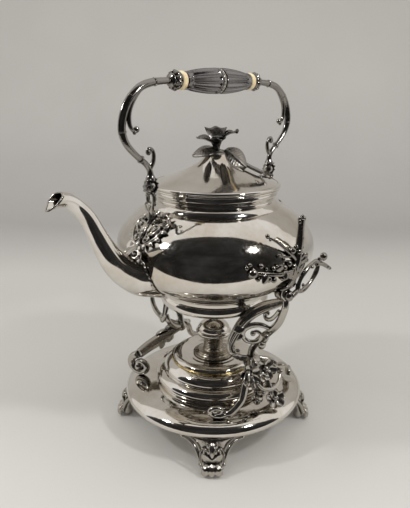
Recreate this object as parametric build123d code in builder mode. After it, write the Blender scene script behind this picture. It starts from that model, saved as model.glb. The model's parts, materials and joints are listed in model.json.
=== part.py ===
"""Spirit kettle on its stand: a plated tilting kettle over a spirit lamp.

Millimetres, +Z up, the table at Z = 0, the stand's axis on Z, the spout towards -Y
and the two brackets that carry the kettle on +X and -X.
"""

import os
from math import cos, hypot, radians, sin

from build123d import *

# Spun sheet and fits
SHEET = 1.4
RUNNING_FIT = 0.05
SIDE_GAP = 0.4

# Stand
FOOT_AZIMUTHS = (45, 135, 225, 315)
FOOT_NAMES = ("foot_right_rear", "foot_left_rear", "foot_left_front", "foot_right_front")
FOOT_INSIDE = 98.3
# In an outline, a list inside it is a smooth curve through its points.
PLATE_OUTLINE = [
    [(102, 39.3), (105.6, 40.7), (107.7, 43.6), (107.9, 47), (106, 50.4), (102.4, 53.2),
     (97, 55.3), (90, 56.8), (80, 57.8), (70, 58)],
    (0, 58),
]
HOLDER_OUTLINE = [
    (68, 58), [(68, 59.2), (70, 61.6), (70.4, 65), (68.9, 68.6), (65.4, 71.1), (60.6, 72)],
    [(60, 72.3), (60.1, 75.2), (58, 79.2), (54.6, 82.2), (50.6, 84.5)],
]
HOLDER_MOUTH = 46.0
HOLDER_TOP = 84.5
SCROLL_CENTRE = (69.0, 62.0, 65.6)
SCROLL_HALF_LENGTH = 13.5
SCROLL_HALF_HEIGHT = 8.6
SCROLL_WIDTH = 6.0
NODE_CENTRE = (60.0, 0.0, 103.0)
STEM_RADIUS = 3.6

# Lamp
LAMP_RADIUS = 44.0
LAMP_BOTTOM = 61.0
SHOULDER_OUTLINE = [(49.6, 86.6), (48.6, 88.7), (45.8, 90.4), (41.8, 91.2), (37.2, 91),
                    (33, 89.8), (29, 88.5)]
TUBE_BORE = 6.0
TUBE_RADIUS = 11.5
TUBE_SHOULDER = 113.0
TUBE_TOP = 121.0
TUBE_NECK = 9.0
COLLAR_BASE = 88.5
CAP_OUTLINE = [
    [(16.4, 113.2), (19.6, 114.2), (21.2, 116.3), (21.3, 118.6), (19.9, 120.3)],
    [(19.4, 120.8), (19, 123.4), (16.2, 127.4), (11.4, 130.5), (3, 133)],
    [(2.2, 133.8), (3.2, 135.4), (2.4, 137.2), (0, 138)],
]

# Kettle
FOOT_RING_OUTLINE = [
    [(57.4, 159), (61.4, 160.7), (63.5, 164.2), (63.3, 168.6), (61.4, 171.8)],
    [(61, 172.4), (61.9, 176.2), (66.2, 181.4), (76, 188)],
]
BELLY_OUTLINE = [
    (76, 187.4), (88, 192), (100, 200), (108, 210), (111.6, 222), (112, 232),
    (109.5, 243), (104, 252), (95, 262), (84, 270.5), (73, 276),
]
BOTTOM_SEAM = 200.0
SHOULDER_SEAM = 232.0
CROWN_SEAM = 254.0
KETTLE_BOTTOM = 185.0
NECK_OUTLINE = [
    (75, 273), [(74, 275.4), (72.2, 278.4), (69.4, 281.2), (66.4, 283)],
    [(66, 284), (66.6, 286.4), (68.3, 288.2), (68.9, 290.6), (68.4, 293)],
]
NECK_BORE = 64.2
SPOUT_STATIONS = [
    # y, z of the centre, rise of the section's normal in degrees, half height, half width
    # Each section stays a little taller than wide, so that all start at the same point.
    (-84, 213, 8, 27, 23),
    (-106, 215, 14, 22.5, 19),
    (-121, 221, 24, 18, 15.5),
    (-134, 231, 34, 15, 13),
    (-144, 243.5, 45, 12.6, 11.5),
    (-151.5, 257, 57, 10.4, 10),
    (-158.5, 272, 65, 8.8, 8.4),
    (-166.5, 287, 64, 8.1, 7.7),
    (-176.5, 298, 55, 7.8, 7.4),
    (-187, 304.5, 47, 8.6, 8.2),
    (-198, 305.2, 45, 11.3, 9.6),
]
SPOUT_WALL = 1.6
SPOUT_ROOT_BORE = 13.0

# Tilting pivots on the brackets
PIVOT_Z = 195.0
PIVOT_RADIUS = 3.0
LUG_RADIUS = 6.5
LUG_FACE = 102.4
EYE_INNER = 103.0
EYE_OUTER = 108.0
EYE_MIDDLE = (EYE_INNER + EYE_OUTER) / 2
EYE_RADIUS = 7.0
PIN_INNER = 98.0
PIN_HEAD_FACE = EYE_OUTER + SIDE_GAP
PIN_HEAD_END = 112.6

# Handle
HANDLE_AXIS_Z = 305.5
MOUNT_Y = 91.5
TONGUE_WIDTH = 5.0
BUD_RADIUS = 8.0
HANDLE_PIN_RADIUS = 1.6
GRIP_Z = 406.5
ARM_POINTS = [
    (-62.5, 406.2), (-77, 405.5), (-89, 404), (-101, 400), (-112, 391), (-119.5, 380),
    (-123.5, 368), (-123.5, 358), (-118, 347), (-107, 336), (-96, 328), (-91.7, 321),
    (-91.5, 311.5),
]
SPUR_POINTS = [(-103, 397), (-111, 387), (-115.5, 377), (-115, 367), (-110.5, 359.5)]
CURL_POINTS = [(-92, 322), (-87.5, 331), (-87.5, 338), (-92, 342)]
FERRULE_OUTLINE = [(54, 6), (54, 8.2), (56, 10), (59, 10.4), (61, 8.5), (63, 6.5), (65.5, 5.5)]
GRIP_OUTLINE = [(2.6, 13.0), (14, 12.6), (27, 11.2), (38, 9.3), (44, 8.0), (47, 8.6)]
BAND_RADIUS = 13.5
IVORY_RADIUS = 9.0
ROD_RADIUS = 3.0

# Lid
LID_BOTTOM = 293.1
LID_CONE = [(69, 299.9), (58, 304), (42, 310), (27, 317), (16, 324.5), (11, 331)]
LID_RIM_OUTLINE = [
    (70, 293.1), [(70.2, 293.4), (70.9, 294.6), (70.1, 295.8)],
    [(70.2, 296.1), (72, 297), (72.3, 298.6), (71, 300), (69, 300.3)],
]
BEZEL_RADIUS = 63.2
BEZEL_BOTTOM = 285.0
LID_HINGE_X = -76.0
LID_HINGE_Z = 293.0
KNUCKLE_RADIUS = 2.7
KNUCKLE_SPLIT = 4.0
KNUCKLE_END = 12.0
LID_PIN_RADIUS = 1.2
FINIAL_BASE = 331.0


def inset(points, wall):
    """An outline read from bottom to top, moved towards the axis by the wall."""
    moved = []
    before = [points[0]] + points[:-1]
    after = points[1:] + [points[-1]]
    for last, here, following in zip(before, points, after):
        run = following[0] - last[0]
        rise = following[1] - last[1]
        length = hypot(run, rise)
        moved.append((here[0] - wall * rise / length, here[1] + wall * run / length))
    return moved


def shell_inside(outline, wall):
    """The inside of a shell, with the same corners and curves as its outline."""
    points = []
    for item in outline:
        points += item if isinstance(item, list) else [item]
    moved = iter(inset(points, wall))
    return [[next(moved) for _ in item] if isinstance(item, list) else next(moved)
            for item in outline]


def ends(item):
    """The first and the last point of one item of an outline."""
    return (item[0], item[-1]) if isinstance(item, list) else (item, item)


def draw(outline, close=False):
    """Draw an outline: straight between its items, and a curve through each list."""
    for item in outline:
        if isinstance(item, list):
            Spline(*item)
    following = outline[1:] + (outline[:1] if close else [])
    for item, after in zip(outline, following):
        if ends(item)[1] != ends(after)[0]:
            Line(ends(item)[1], ends(after)[0])


def spun_shell(outer, wall):
    """Add a shell of revolution about Z whose outside is the given outline."""
    inner = shell_inside(outer, wall)
    with BuildSketch(Plane.XZ) as section:
        with BuildLine():
            draw(outer)
            draw(inner)
            Line(ends(outer[0])[0], ends(inner[0])[0])
            Line(ends(outer[-1])[1], ends(inner[-1])[1])
        make_face()
    revolve(section.sketch, axis=Axis.Z)


def spun_solid(outline, axis=Axis.Z, plane=Plane.XZ, mode=Mode.ADD):
    """Add or cut a solid of revolution from a closed outline."""
    with BuildSketch(plane) as section:
        with BuildLine():
            draw(outline, close=True)
        make_face()
    revolve(section.sketch, axis=axis, mode=mode)


def rod(points, radius, ends=True):
    """Add a round rod along a smooth curve, with ball ends."""
    with BuildLine() as route:
        Spline(*points)
    with BuildSketch(Plane(origin=route.line @ 0, z_dir=route.line % 0)) as section:
        Circle(radius)
    sweep(sections=section.sketch, path=route.line)
    if ends:
        ball(points[0], radius)
        ball(points[-1], radius)


def ball(centre, radius):
    """Add a ball."""
    with Locations(centre):
        Sphere(radius)


def bar(plane, radius, length, mode=Mode.ADD):
    """Add or cut a round bar that starts on a plane and runs along its normal."""
    with BuildSketch(plane) as section:
        Circle(radius)
    extrude(section.sketch, amount=length, mode=mode)


def across(x, y, z):
    """The plane at a point that faces along +X."""
    return Plane(origin=(x, y, z), x_dir=(0, 1, 0), z_dir=(1, 0, 0))


def along(x, y, z):
    """The plane at a point that faces along +Y."""
    return Plane(origin=(x, y, z), x_dir=(1, 0, 0), z_dir=(0, 1, 0))


def save(piece, name):
    """Label a piece and write its STEP file."""
    piece.part.label = name
    export_step(piece.part, f"parts/{name}.step")


def mirrored(piece, plane):
    """The same piece on the other side of a plane."""
    with BuildPart() as copy:
        mirror(piece.part, about=plane)
    return copy


# ---------------------------------------------------------------- stand

def make_base_plate():
    """The plate with its rounded rim, open below."""
    with BuildPart() as plate:
        spun_shell(PLATE_OUTLINE, SHEET)
    return plate


def make_lamp_holder():
    """The stepped drum in the middle of the plate that the lamp drops into."""
    with BuildPart() as holder:
        spun_shell(HOLDER_OUTLINE, SHEET)
        spun_solid([(HOLDER_MOUTH, HOLDER_TOP - SHEET), (51, HOLDER_TOP - SHEET),
                    (50.6, HOLDER_TOP), (HOLDER_MOUTH, HOLDER_TOP)])
    return holder


def make_foot(plate):
    """One cast foot on +X: a shield on a leafy toe, with wings curling under the rim."""
    stations = [(0, 108, 8, 8.5), (4, 109, 7.5, 11.5), (9, 108.5, 6, 13.5), (14, 107, 5, 12.5),
                (22, 105, 4.5, 13), (30, 102.5, 4.2, 15), (37, 100.5, 4, 15),
                (44, 99.5, 4, 14), (57, 98, 4, 13)]
    with BuildPart() as foot:
        for height, radius, depth, width in stations:
            with BuildSketch(Plane.XY.offset(height)):
                with Locations((radius, 0)):
                    RectangleRounded(2 * depth, 2 * width, 0.85 * depth)
        loft()
        for side in (-1, 1):
            ball((111, side * 8.5, 7), 5.5)
            rod([(104, side * 12.5, 20), (103, side * 15.5, 27), (101.5, side * 22, 33),
                 (99, side * 31, 36)], 2.0)
            ball((98.5, side * 33, 35), 3.0)
        ball((105, 0, 34), 6.0)
        with BuildSketch(Plane.XY) as floor_cut:
            Rectangle(400, 400)
        extrude(floor_cut.sketch, amount=-20, mode=Mode.SUBTRACT)
        add(plate.part, mode=Mode.SUBTRACT)
        spun_solid(PLATE_OUTLINE + [(0, 80), (130, 80), (130, 39.3)], mode=Mode.SUBTRACT)
        spun_solid([(0, 30), (FOOT_INSIDE, 30), (FOOT_INSIDE, 60), (0, 60)], mode=Mode.SUBTRACT)
    return foot


def make_bracket(plate, holder):
    """The +X bracket: a scrolled stem with the pivot eye on top and two legs."""
    x, y, z = NODE_CENTRE
    foot_x, foot_y, foot_z = SCROLL_CENTRE
    reach = hypot(foot_x, foot_y)
    with BuildPart() as bracket:
        rod([(EYE_MIDDLE, 0, PIVOT_Z - 6), (104.5, 0, 176), (97, 0, 160), (84, 0, 144),
             (71, 0, 130), (62, 0, 116), (x, y, z)], STEM_RADIUS)
        rod([(EYE_MIDDLE, 0, PIVOT_Z - 8), (94, -2, 182), (80, -6, 174), (68, -12, 164),
             (61, -20, 151), (57, -27, 138), (56, -29, 127)], 3.2)
        rod([(56, -29, 127), (54, -26, 117), (56, -14, 108), (x, y, z)], 3.0)
        rod([(84, 0, 144), (82, 0, 136), (77, 0, 129)], 2.0)
        ball((76, 0, 126), 5.0)
        ball((68, -13, 150), 6.0)
        rod([(61, -20, 151), (66, -15, 151), (74, -6, 144), (84, 0, 144)], 2.2)
        ball((x, y, z), 6.5)
        for side in (-1, 1):
            outward = (foot_x / reach, side * foot_y / reach, 0)
            towards = (foot_y / reach, -side * foot_x / reach, 0)
            rod([(x, y, z), (68, side * 10, 101), (75.5, side * 22, 96), (78.3, side * 31, 84),
                 (79.5, side * 37, 70), (79.5, side * 46, 62.5),
                 (foot_x + 8 * towards[0], side * foot_y + 8 * towards[1], foot_z - 4)],
                STEM_RADIUS)
            inner_face = (foot_x - SCROLL_WIDTH / 2 * outward[0],
                          side * foot_y - SCROLL_WIDTH / 2 * outward[1], foot_z)
            with BuildSketch(Plane(origin=inner_face, x_dir=towards, z_dir=outward)) as scroll:
                Ellipse(SCROLL_HALF_LENGTH, SCROLL_HALF_HEIGHT)
            extrude(scroll.sketch, amount=SCROLL_WIDTH)
        bar(across(EYE_INNER, 0, PIVOT_Z), EYE_RADIUS, EYE_OUTER - EYE_INNER)
        for face in (EYE_INNER - 10, EYE_OUTER):
            bar(across(face, 0, PIVOT_Z), EYE_RADIUS + 1.5, 10, mode=Mode.SUBTRACT)
        bar(across(EYE_INNER - 1, 0, PIVOT_Z), PIVOT_RADIUS + RUNNING_FIT, 12,
            mode=Mode.SUBTRACT)
        add(plate.part, mode=Mode.SUBTRACT)
        add(holder.part, mode=Mode.SUBTRACT)
    return bracket


def make_flower_spray(bracket, plate):
    """The flowers and their stalks between the two legs of the +X bracket."""
    flowers = [((76, -18, 96), 7.5), ((79, 2, 96), 7.5), ((94.5, 3, 64), 7.5),
               ((79, -11, 82), 5.0), ((85, 10, 72), 4.5), ((82, -13, 67), 4.5)]
    with BuildPart() as spray:
        rod([(63, 0, 100), (72, -2, 98), (79, 2, 95), (86, 1, 84), (91, 1, 73), (94, 3, 65)], 2.8)
        rod([(70, -2, 98), (74, -10, 98), (76, -18, 96)], 2.6)
        rod([(76, -18, 94), (78, -14, 86), (80, -12, 76), (82, -13, 67)], 2.4)
        rod([(86, 1, 84), (88, 5, 77), (85, 10, 72)], 2.2)
        rod([(85, -14, 86), (89, -8, 79), (91, 5, 76), (88, 19, 78), (84, 26, 85)], 2.2)
        for centre, radius in flowers:
            ball(centre, radius)
        add(bracket.part, mode=Mode.SUBTRACT)
        add(plate.part, mode=Mode.SUBTRACT)
    return spray


def make_bracket_nuts(plate):
    """The four nuts under the plate that hold the bracket legs."""
    x, y, _ = SCROLL_CENTRE
    with BuildPart() as nuts:
        for side_x in (-1, 1):
            for side_y in (-1, 1):
                with BuildSketch(Plane(origin=(side_x * x, side_y * y, 50.5))) as nut:
                    RegularPolygon(4.5, 6)
                extrude(nut.sketch, amount=6)
        add(plate.part, mode=Mode.SUBTRACT)
        spun_solid(PLATE_OUTLINE + [(0, 80), (130, 80), (130, 39.3)], mode=Mode.SUBTRACT)
    return nuts


# ---------------------------------------------------------------- lamp

def make_lamp_font():
    """The hollow spirit font: a drum in the holder with a rounded shoulder."""
    with BuildPart() as font:
        spun_solid([(0, LAMP_BOTTOM), (LAMP_RADIUS, LAMP_BOTTOM), (LAMP_RADIUS, HOLDER_TOP),
                    (50, HOLDER_TOP), SHOULDER_OUTLINE, (27, COLLAR_BASE), (0, COLLAR_BASE)])
        spun_solid([(0, LAMP_BOTTOM + SHEET), (LAMP_RADIUS - SHEET, LAMP_BOTTOM + SHEET),
                    (LAMP_RADIUS - SHEET, 86), (42.2, 89.4), (37, 89.4), (33, 88.2), (29, 87),
                    (0, 87)], mode=Mode.SUBTRACT)
        bar(Plane.XY.offset(80), TUBE_NECK, 20, mode=Mode.SUBTRACT)
    return font


def make_lamp_seat_ring():
    """The brass ring under the font's flange."""
    top = HOLDER_TOP + 2.1
    with BuildPart() as ring:
        spun_solid([(50, HOLDER_TOP), [(50.7, HOLDER_TOP), (51.7, HOLDER_TOP + 1), (50.7, top)],
                    (49.7, top)])
    return ring


def make_wick_tube():
    """The plain tube that is screwed into the font and carries the wick."""
    with BuildPart() as tube:
        spun_solid([(TUBE_BORE, 80), (TUBE_NECK, 80), (TUBE_NECK, TUBE_TOP),
                    (TUBE_BORE, TUBE_TOP)])
    return tube


def make_burner_collar():
    """The ribbed collar round the tube, on its stepped foot."""
    ribs = []
    for step in range(6):
        z = 96.6 + 2.4 * step
        ribs += [(TUBE_RADIUS, z), (TUBE_RADIUS - 1, z + 0.8), (TUBE_RADIUS - 1, z + 1.6)]
    with BuildPart() as collar:
        spun_solid([(TUBE_NECK, COLLAR_BASE), (24, COLLAR_BASE),
                    [(24.2, 88.7), (24.7, 89.6), (23.8, 90.5)], (19, 90.9),
                    [(18.8, 91.1), (19.2, 92.2), (18.4, 93.2)], (13, 94), (TUBE_RADIUS, 95.4)]
                   + ribs + [(16, TUBE_SHOULDER - 1), (16, TUBE_SHOULDER),
                             (TUBE_NECK, TUBE_SHOULDER)])
    return collar


def make_wick():
    """The cotton wick, from the bottom of the font to just above its tube."""
    with BuildPart() as wick:
        bar(Plane.XY.offset(66), TUBE_BORE, TUBE_TOP + 3 - 66)
    return wick


def make_snuffer_cap():
    """The hollow cap that stands on the collar's shoulder and puts the flame out."""
    with BuildPart() as cap:
        spun_solid(CAP_OUTLINE + [(0, 113.2)])
        spun_solid([(0, 112), (15.4, 112), (15.9, 114.6), (19.4, 116.8), (19.2, 119),
                    (17.8, 121), (17.3, 123.2), (15, 126.2), (10.6, 129), (5, 130.6),
                    (0, 131.4)], mode=Mode.SUBTRACT)
    return cap


# ---------------------------------------------------------------- kettle

def make_kettle_core(swell=0.0):
    """The kettle's outside as a filled solid, swollen outward by an allowance."""
    outline = inset(BELLY_OUTLINE, -swell)
    with BuildPart() as core:
        with BuildSketch(Plane.XZ) as section:
            with BuildLine():
                Spline(*outline)
                top = outline[-1]
                bottom = outline[0]
                Polyline(top, (0, top[1] + 0.5), (0, KETTLE_BOTTOM), bottom)
            make_face()
        revolve(section.sketch, axis=Axis.Z)
    return core


def make_kettle_body(core):
    """The spun body, open at the neck and at the spout's root, still in one piece."""
    inner = inset(BELLY_OUTLINE, SHEET)
    floor = KETTLE_BOTTOM + SHEET
    with BuildPart() as body:
        add(core.part)
        with BuildSketch(Plane.XZ) as section:
            with BuildLine():
                Spline(*inner)
                Polyline(inner[-1], (0, inner[-1][1]), (0, floor), (70, floor + 1.5), inner[0])
            make_face()
        revolve(section.sketch, axis=Axis.Z, mode=Mode.SUBTRACT)
        bar(Plane.XY.offset(260), NECK_BORE, 30, mode=Mode.SUBTRACT)
        bar(Plane(origin=(0, -84, 214), z_dir=(0, -cos(radians(8)), sin(radians(8)))),
            SPOUT_ROOT_BORE, 40, mode=Mode.SUBTRACT)
    return body


def slice_of(piece, low, high):
    """The part of a piece between two heights."""
    with BuildPart() as part:
        add(piece.part)
        with Locations((0, 0, (low + high) / 2)):
            Box(400, 400, high - low, mode=Mode.INTERSECT)
    return part


def make_foot_ring(core):
    """The moulded ring under the body that takes the heat of the lamp."""
    with BuildPart() as ring:
        spun_shell(FOOT_RING_OUTLINE, 2.2)
        add(core.part, mode=Mode.SUBTRACT)
    return ring


def make_neck_ring(core):
    """The moulded collar that the lid closes on."""
    with BuildPart() as ring:
        spun_solid(NECK_OUTLINE + [(NECK_BORE, 293), (NECK_BORE, 272)])
        add(core.part, mode=Mode.SUBTRACT)
    return ring


def spout_plane(station):
    """The plane of one section of the spout."""
    y, z, rise, _, _ = station
    lean = radians(rise)
    return Plane(origin=(0, y, z), x_dir=(1, 0, 0), z_dir=(0, -cos(lean), sin(lean)))


def spout_loft(thinner):
    """Add a loft through the spout's sections, thinner than the outside by a wall."""
    sections = []
    for station in SPOUT_STATIONS:
        with BuildSketch(spout_plane(station)) as section:
            Ellipse(station[4] - thinner, station[3] - thinner)
        sections.append(section.sketch)
    return loft(sections=sections, mode=Mode.PRIVATE)


def make_spout(core):
    """The swan-neck spout with its flared lip, hollow from end to end."""
    outside = spout_loft(0)
    bore = spout_loft(SPOUT_WALL)
    with BuildPart() as spout:
        add(outside)
        add(bore, mode=Mode.SUBTRACT)
        add(core.part, mode=Mode.SUBTRACT)
        spun_solid([(0, 150), (70, 150), (70, 290), (0, 290)], mode=Mode.SUBTRACT)
    return spout


def make_lug(core, skin):
    """The +X lug: a shaped patch on the body with the boss for the pivot pin."""
    with BuildPart() as lug:
        with BuildSketch(across(80, 0, 211)) as patch:
            Ellipse(9, 17)
        extrude(patch.sketch, amount=50)
        add(skin.part, mode=Mode.INTERSECT)
        bar(across(80, 0, PIVOT_Z), LUG_RADIUS, LUG_FACE - 80)
        ball((106, 0, 209), 5.0)
        bar(across(LUG_FACE, 0, PIVOT_Z), EYE_RADIUS + 1.2, 15, mode=Mode.SUBTRACT)
        add(core.part, mode=Mode.SUBTRACT)
        bar(across(PIN_INNER - 0.3, 0, PIVOT_Z), PIVOT_RADIUS + RUNNING_FIT, 12,
            mode=Mode.SUBTRACT)
    return lug


def make_twigs(core, lug):
    """The cast twigs and buds on the body beside the +X lug."""
    with BuildPart() as twigs:
        rod([(113.5, 2, 226), (114.5, 5, 240), (114.5, 7, 256), (114.5, 8, 276)], 2.4)
        ball((114.5, 8, 278), 4.2)
        ball((114.5, 6.5, 251), 3.4)
        rod([(113.5, 3, 242), (109, -5, 251), (104, -12, 259)], 1.8)
        ball((103.5, -13, 260), 3.2)
        rod([(113.5, 2, 226), (112.5, -14, 225), (108.5, -30, 226), (102.5, -44, 228)], 2.6)
        ball((101, -47.5, 229), 5.6)
        ball((108, -33, 224), 4.4)
        ball((112.5, -9, 224), 4.4)
        ball((113.5, 7, 230), 5.0)
        ball((110, 19, 230), 4.0)
        rod([(113.5, 7, 230), (112.5, 13, 231), (110, 19, 230)], 2.4)
        add(core.part, mode=Mode.SUBTRACT)
        add(lug.part, mode=Mode.SUBTRACT)
    return twigs


def make_pivot_pin():
    """The +X pivot pin, drawn out by its looped twig."""
    centre_y, centre_z = 27, 211
    long_half, short_half, lean = 20, 9, radians(36)
    loop = []
    for step in range(12):
        turn = radians(30 * step)
        out = long_half * cos(turn)
        up = short_half * sin(turn)
        loop.append((PIN_HEAD_END, centre_y + out * cos(lean) - up * sin(lean),
                     centre_z + out * sin(lean) + up * cos(lean)))
    with BuildPart() as pin:
        bar(across(PIN_INNER, 0, PIVOT_Z), PIVOT_RADIUS, PIN_HEAD_END - PIN_INNER)
        bar(across(PIN_HEAD_FACE, 0, PIVOT_Z), 5.5, PIN_HEAD_END - PIN_HEAD_FACE)
        with BuildLine() as route:
            Spline(*loop, periodic=True)
        with BuildSketch(Plane(origin=route.line @ 0, z_dir=route.line % 0)) as section:
            Circle(2.5)
        sweep(sections=section.sketch, path=route.line)
        rod([(PIN_HEAD_END, 1, 196), (PIN_HEAD_END, 6, 198), (PIN_HEAD_END, 11.5, 200)], 2.8)
        rod([(PIN_HEAD_END, 42, 222), (113, 52, 219), (113.5, 64, 212)], 2.0)
        rod([(PIN_HEAD_END, 42, 222), (113, 47, 225), (113, 52, 226)], 2.0)
        ball((113, 52, 227), 4.6)
    return pin


def make_handle_mount(core, skin):
    """The -Y mount: leafy plate on the shoulder, stem, ring and the hinge tongue."""
    with BuildPart() as mount:
        with BuildSketch(along(0, -125, 258)) as leaf:
            Ellipse(27, 17)
        extrude(leaf.sketch, amount=60)
        add(skin.part, mode=Mode.INTERSECT)
        spun_solid([(0, 200), (60, 200), (60, 300), (0, 300)], mode=Mode.SUBTRACT)
        rod([(0, -MOUNT_Y - 3, 262), (0, -MOUNT_Y - 1, 270), (0, -MOUNT_Y, 277),
             (0, -MOUNT_Y, 285)], 3.4)
        with BuildSketch(along(0, -MOUNT_Y - TONGUE_WIDTH / 2, 293)) as ring:
            Ellipse(7, 8)
            Ellipse(3, 4.4, mode=Mode.SUBTRACT)
        extrude(ring.sketch, amount=TONGUE_WIDTH)
        bar(along(0, -MOUNT_Y - TONGUE_WIDTH / 2, HANDLE_AXIS_Z), 5.2, TONGUE_WIDTH)
        bar(along(0, -MOUNT_Y - 6, HANDLE_AXIS_Z), HANDLE_PIN_RADIUS + RUNNING_FIT, 12,
            mode=Mode.SUBTRACT)
        add(core.part, mode=Mode.SUBTRACT)
    return mount


def make_handle_pin():
    """The -Y hinge pin of the handle, headed over at both ends."""
    start = -MOUNT_Y - BUD_RADIUS
    with BuildPart() as pin:
        bar(along(0, start, HANDLE_AXIS_Z), HANDLE_PIN_RADIUS, 2 * BUD_RADIUS)
        for end in (start, start + 2 * BUD_RADIUS - 1):
            bar(along(0, end, HANDLE_AXIS_Z), 2.6, 1)
    return pin


# ---------------------------------------------------------------- lid

def make_lid_shell():
    """The hollow-sided cone of the lid."""
    under = [(point[0] - 0.5, point[1] - SHEET) for point in LID_CONE]
    with BuildPart() as lid:
        spun_solid([LID_CONE, (2.2, LID_CONE[-1][1] + 0.2), (2.2, under[-1][1]), under[::-1]])
    return lid


def make_lid_rim():
    """The reeded rim of the lid, with the ledge that carries its bezel."""
    edge = LID_CONE[0]
    with BuildPart() as rim:
        spun_solid(LID_RIM_OUTLINE + [edge, (edge[0] - 0.5, edge[1] - SHEET), (66.8, 297.4),
                                      (66.8, LID_BOTTOM + 1.6), (BEZEL_RADIUS - 1.6, LID_BOTTOM + 1.6),
                                      (BEZEL_RADIUS - 1.6, LID_BOTTOM)])
    return rim


def make_lid_bezel():
    """The plain band under the lid that drops into the neck."""
    with BuildPart() as bezel:
        spun_solid([(BEZEL_RADIUS, BEZEL_BOTTOM), (BEZEL_RADIUS, LID_BOTTOM),
                    (BEZEL_RADIUS - 1.6, LID_BOTTOM), (BEZEL_RADIUS - 1.6, BEZEL_BOTTOM)])
    return bezel


def make_lid_hinge_leaf(rim):
    """The moving leaf: one knuckle between the fixed pair, soldered to the lid's rim."""
    with BuildPart() as leaf:
        bar(along(LID_HINGE_X, -KNUCKLE_SPLIT + 0.2, LID_HINGE_Z), KNUCKLE_RADIUS,
            2 * KNUCKLE_SPLIT - 0.4)
        with Locations((LID_HINGE_X + 3, 0, LID_HINGE_Z + 2)):
            Box(6, 2 * KNUCKLE_SPLIT - 0.4, 2)
        bar(along(LID_HINGE_X, -20, LID_HINGE_Z), LID_PIN_RADIUS, 40, mode=Mode.SUBTRACT)
        add(rim.part, mode=Mode.SUBTRACT)
        spun_solid([(0, 280), (69.4, 280), (69.4, 320), (0, 320)], mode=Mode.SUBTRACT)
    return leaf


def make_body_hinge_leaf(neck):
    """The fixed leaf: two knuckles on a strap soldered to the neck ring."""
    with BuildPart() as leaf:
        for start in (-KNUCKLE_END, KNUCKLE_SPLIT):
            bar(along(LID_HINGE_X, start, LID_HINGE_Z), KNUCKLE_RADIUS,
                KNUCKLE_END - KNUCKLE_SPLIT)
            with Locations((LID_HINGE_X + 4.5, start + (KNUCKLE_END - KNUCKLE_SPLIT) / 2,
                            LID_HINGE_Z - 1.8)):
                Box(9, KNUCKLE_END - KNUCKLE_SPLIT, 1.8)
        with Locations((LID_HINGE_X + 4.5, 0, LID_HINGE_Z - 6.2)):
            Box(11, 2 * KNUCKLE_END, 1.8)
        for start in (-KNUCKLE_END, KNUCKLE_SPLIT):
            with Locations((LID_HINGE_X + 1, start + (KNUCKLE_END - KNUCKLE_SPLIT) / 2,
                            LID_HINGE_Z - 4)):
                Box(2, KNUCKLE_END - KNUCKLE_SPLIT, 4)
        bar(along(LID_HINGE_X, -20, LID_HINGE_Z), LID_PIN_RADIUS + RUNNING_FIT, 40,
            mode=Mode.SUBTRACT)
        add(neck.part, mode=Mode.SUBTRACT)
        spun_solid([(0, 280), (66.4, 280), (66.4, 320), (0, 320)], mode=Mode.SUBTRACT)
    return leaf


def make_lid_hinge_pin():
    """The hinge pin of the lid."""
    with BuildPart() as pin:
        bar(along(LID_HINGE_X, -KNUCKLE_END, LID_HINGE_Z), LID_PIN_RADIUS, 2 * KNUCKLE_END)
    return pin


def make_finial_flower():
    """The open flower that the lid is lifted by, on its threaded stem."""
    with BuildPart() as flower:
        bar(Plane.XY.offset(324), 2.2, 14)
        spun_solid([(0, FINIAL_BASE + 4), (4, FINIAL_BASE + 4), (3, 340), (5, 344), (0, 344)])
        for step in range(5):
            turn = radians(18 + 72 * step)
            tip = (20 * cos(turn), 20 * sin(turn))
            with BuildSketch(Plane(origin=(0.5 * tip[0], 0.5 * tip[1], 346.5),
                                   x_dir=(cos(turn), sin(turn), 0.35),
                                   z_dir=(-0.35 * cos(turn), -0.35 * sin(turn), 1))) as petal:
                Ellipse(11.5, 8.5)
            extrude(petal.sketch, amount=2.0)
        with Locations((0, 0, 347)):
            Sphere(5)
    return flower


def make_finial_leaves(flower):
    """The leaves and the cut twig lying on the lid under the flower."""
    with BuildPart() as leaves:
        bar(Plane.XY.offset(328), 9.5, FINIAL_BASE + 4 - 328)
        for turn, reach, drop in ((100, 27, 6), (-135, 26, 10), (20, 33, 9), (-60, 22, 9)):
            angle = radians(turn)
            slope = drop / reach
            with BuildSketch(Plane(
                    origin=(0.55 * reach * cos(angle), 0.55 * reach * sin(angle),
                            FINIAL_BASE + 2.5 - 0.45 * drop),
                    x_dir=(cos(angle), sin(angle), -slope),
                    z_dir=(slope * cos(angle), slope * sin(angle), 1))) as leaf:
                Ellipse(0.5 * reach, 0.33 * reach)
            extrude(leaf.sketch, amount=2.2)
        rod([(8, 8, 333), (20, 18, 326.5), (36, 32, 317)], 2.2)
        clear = [(radius, height + 0.15) for radius, height in LID_CONE]
        spun_solid([clear, (0, clear[-1][1] + 0.2), (0, 280), (clear[0][0], 280)],
                   mode=Mode.SUBTRACT)
        add(flower.part, mode=Mode.SUBTRACT)
    return leaves


def make_finial_nut():
    """The nut inside the lid that holds the flower and the leaves."""
    with BuildPart() as nut:
        with BuildSketch(Plane.XY.offset(324.5)) as hexagon:
            RegularPolygon(5, 6)
            Circle(2.2, mode=Mode.SUBTRACT)
        extrude(hexagon.sketch, amount=331 - SHEET - 324.5)
    return nut


# ---------------------------------------------------------------- handle

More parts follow.
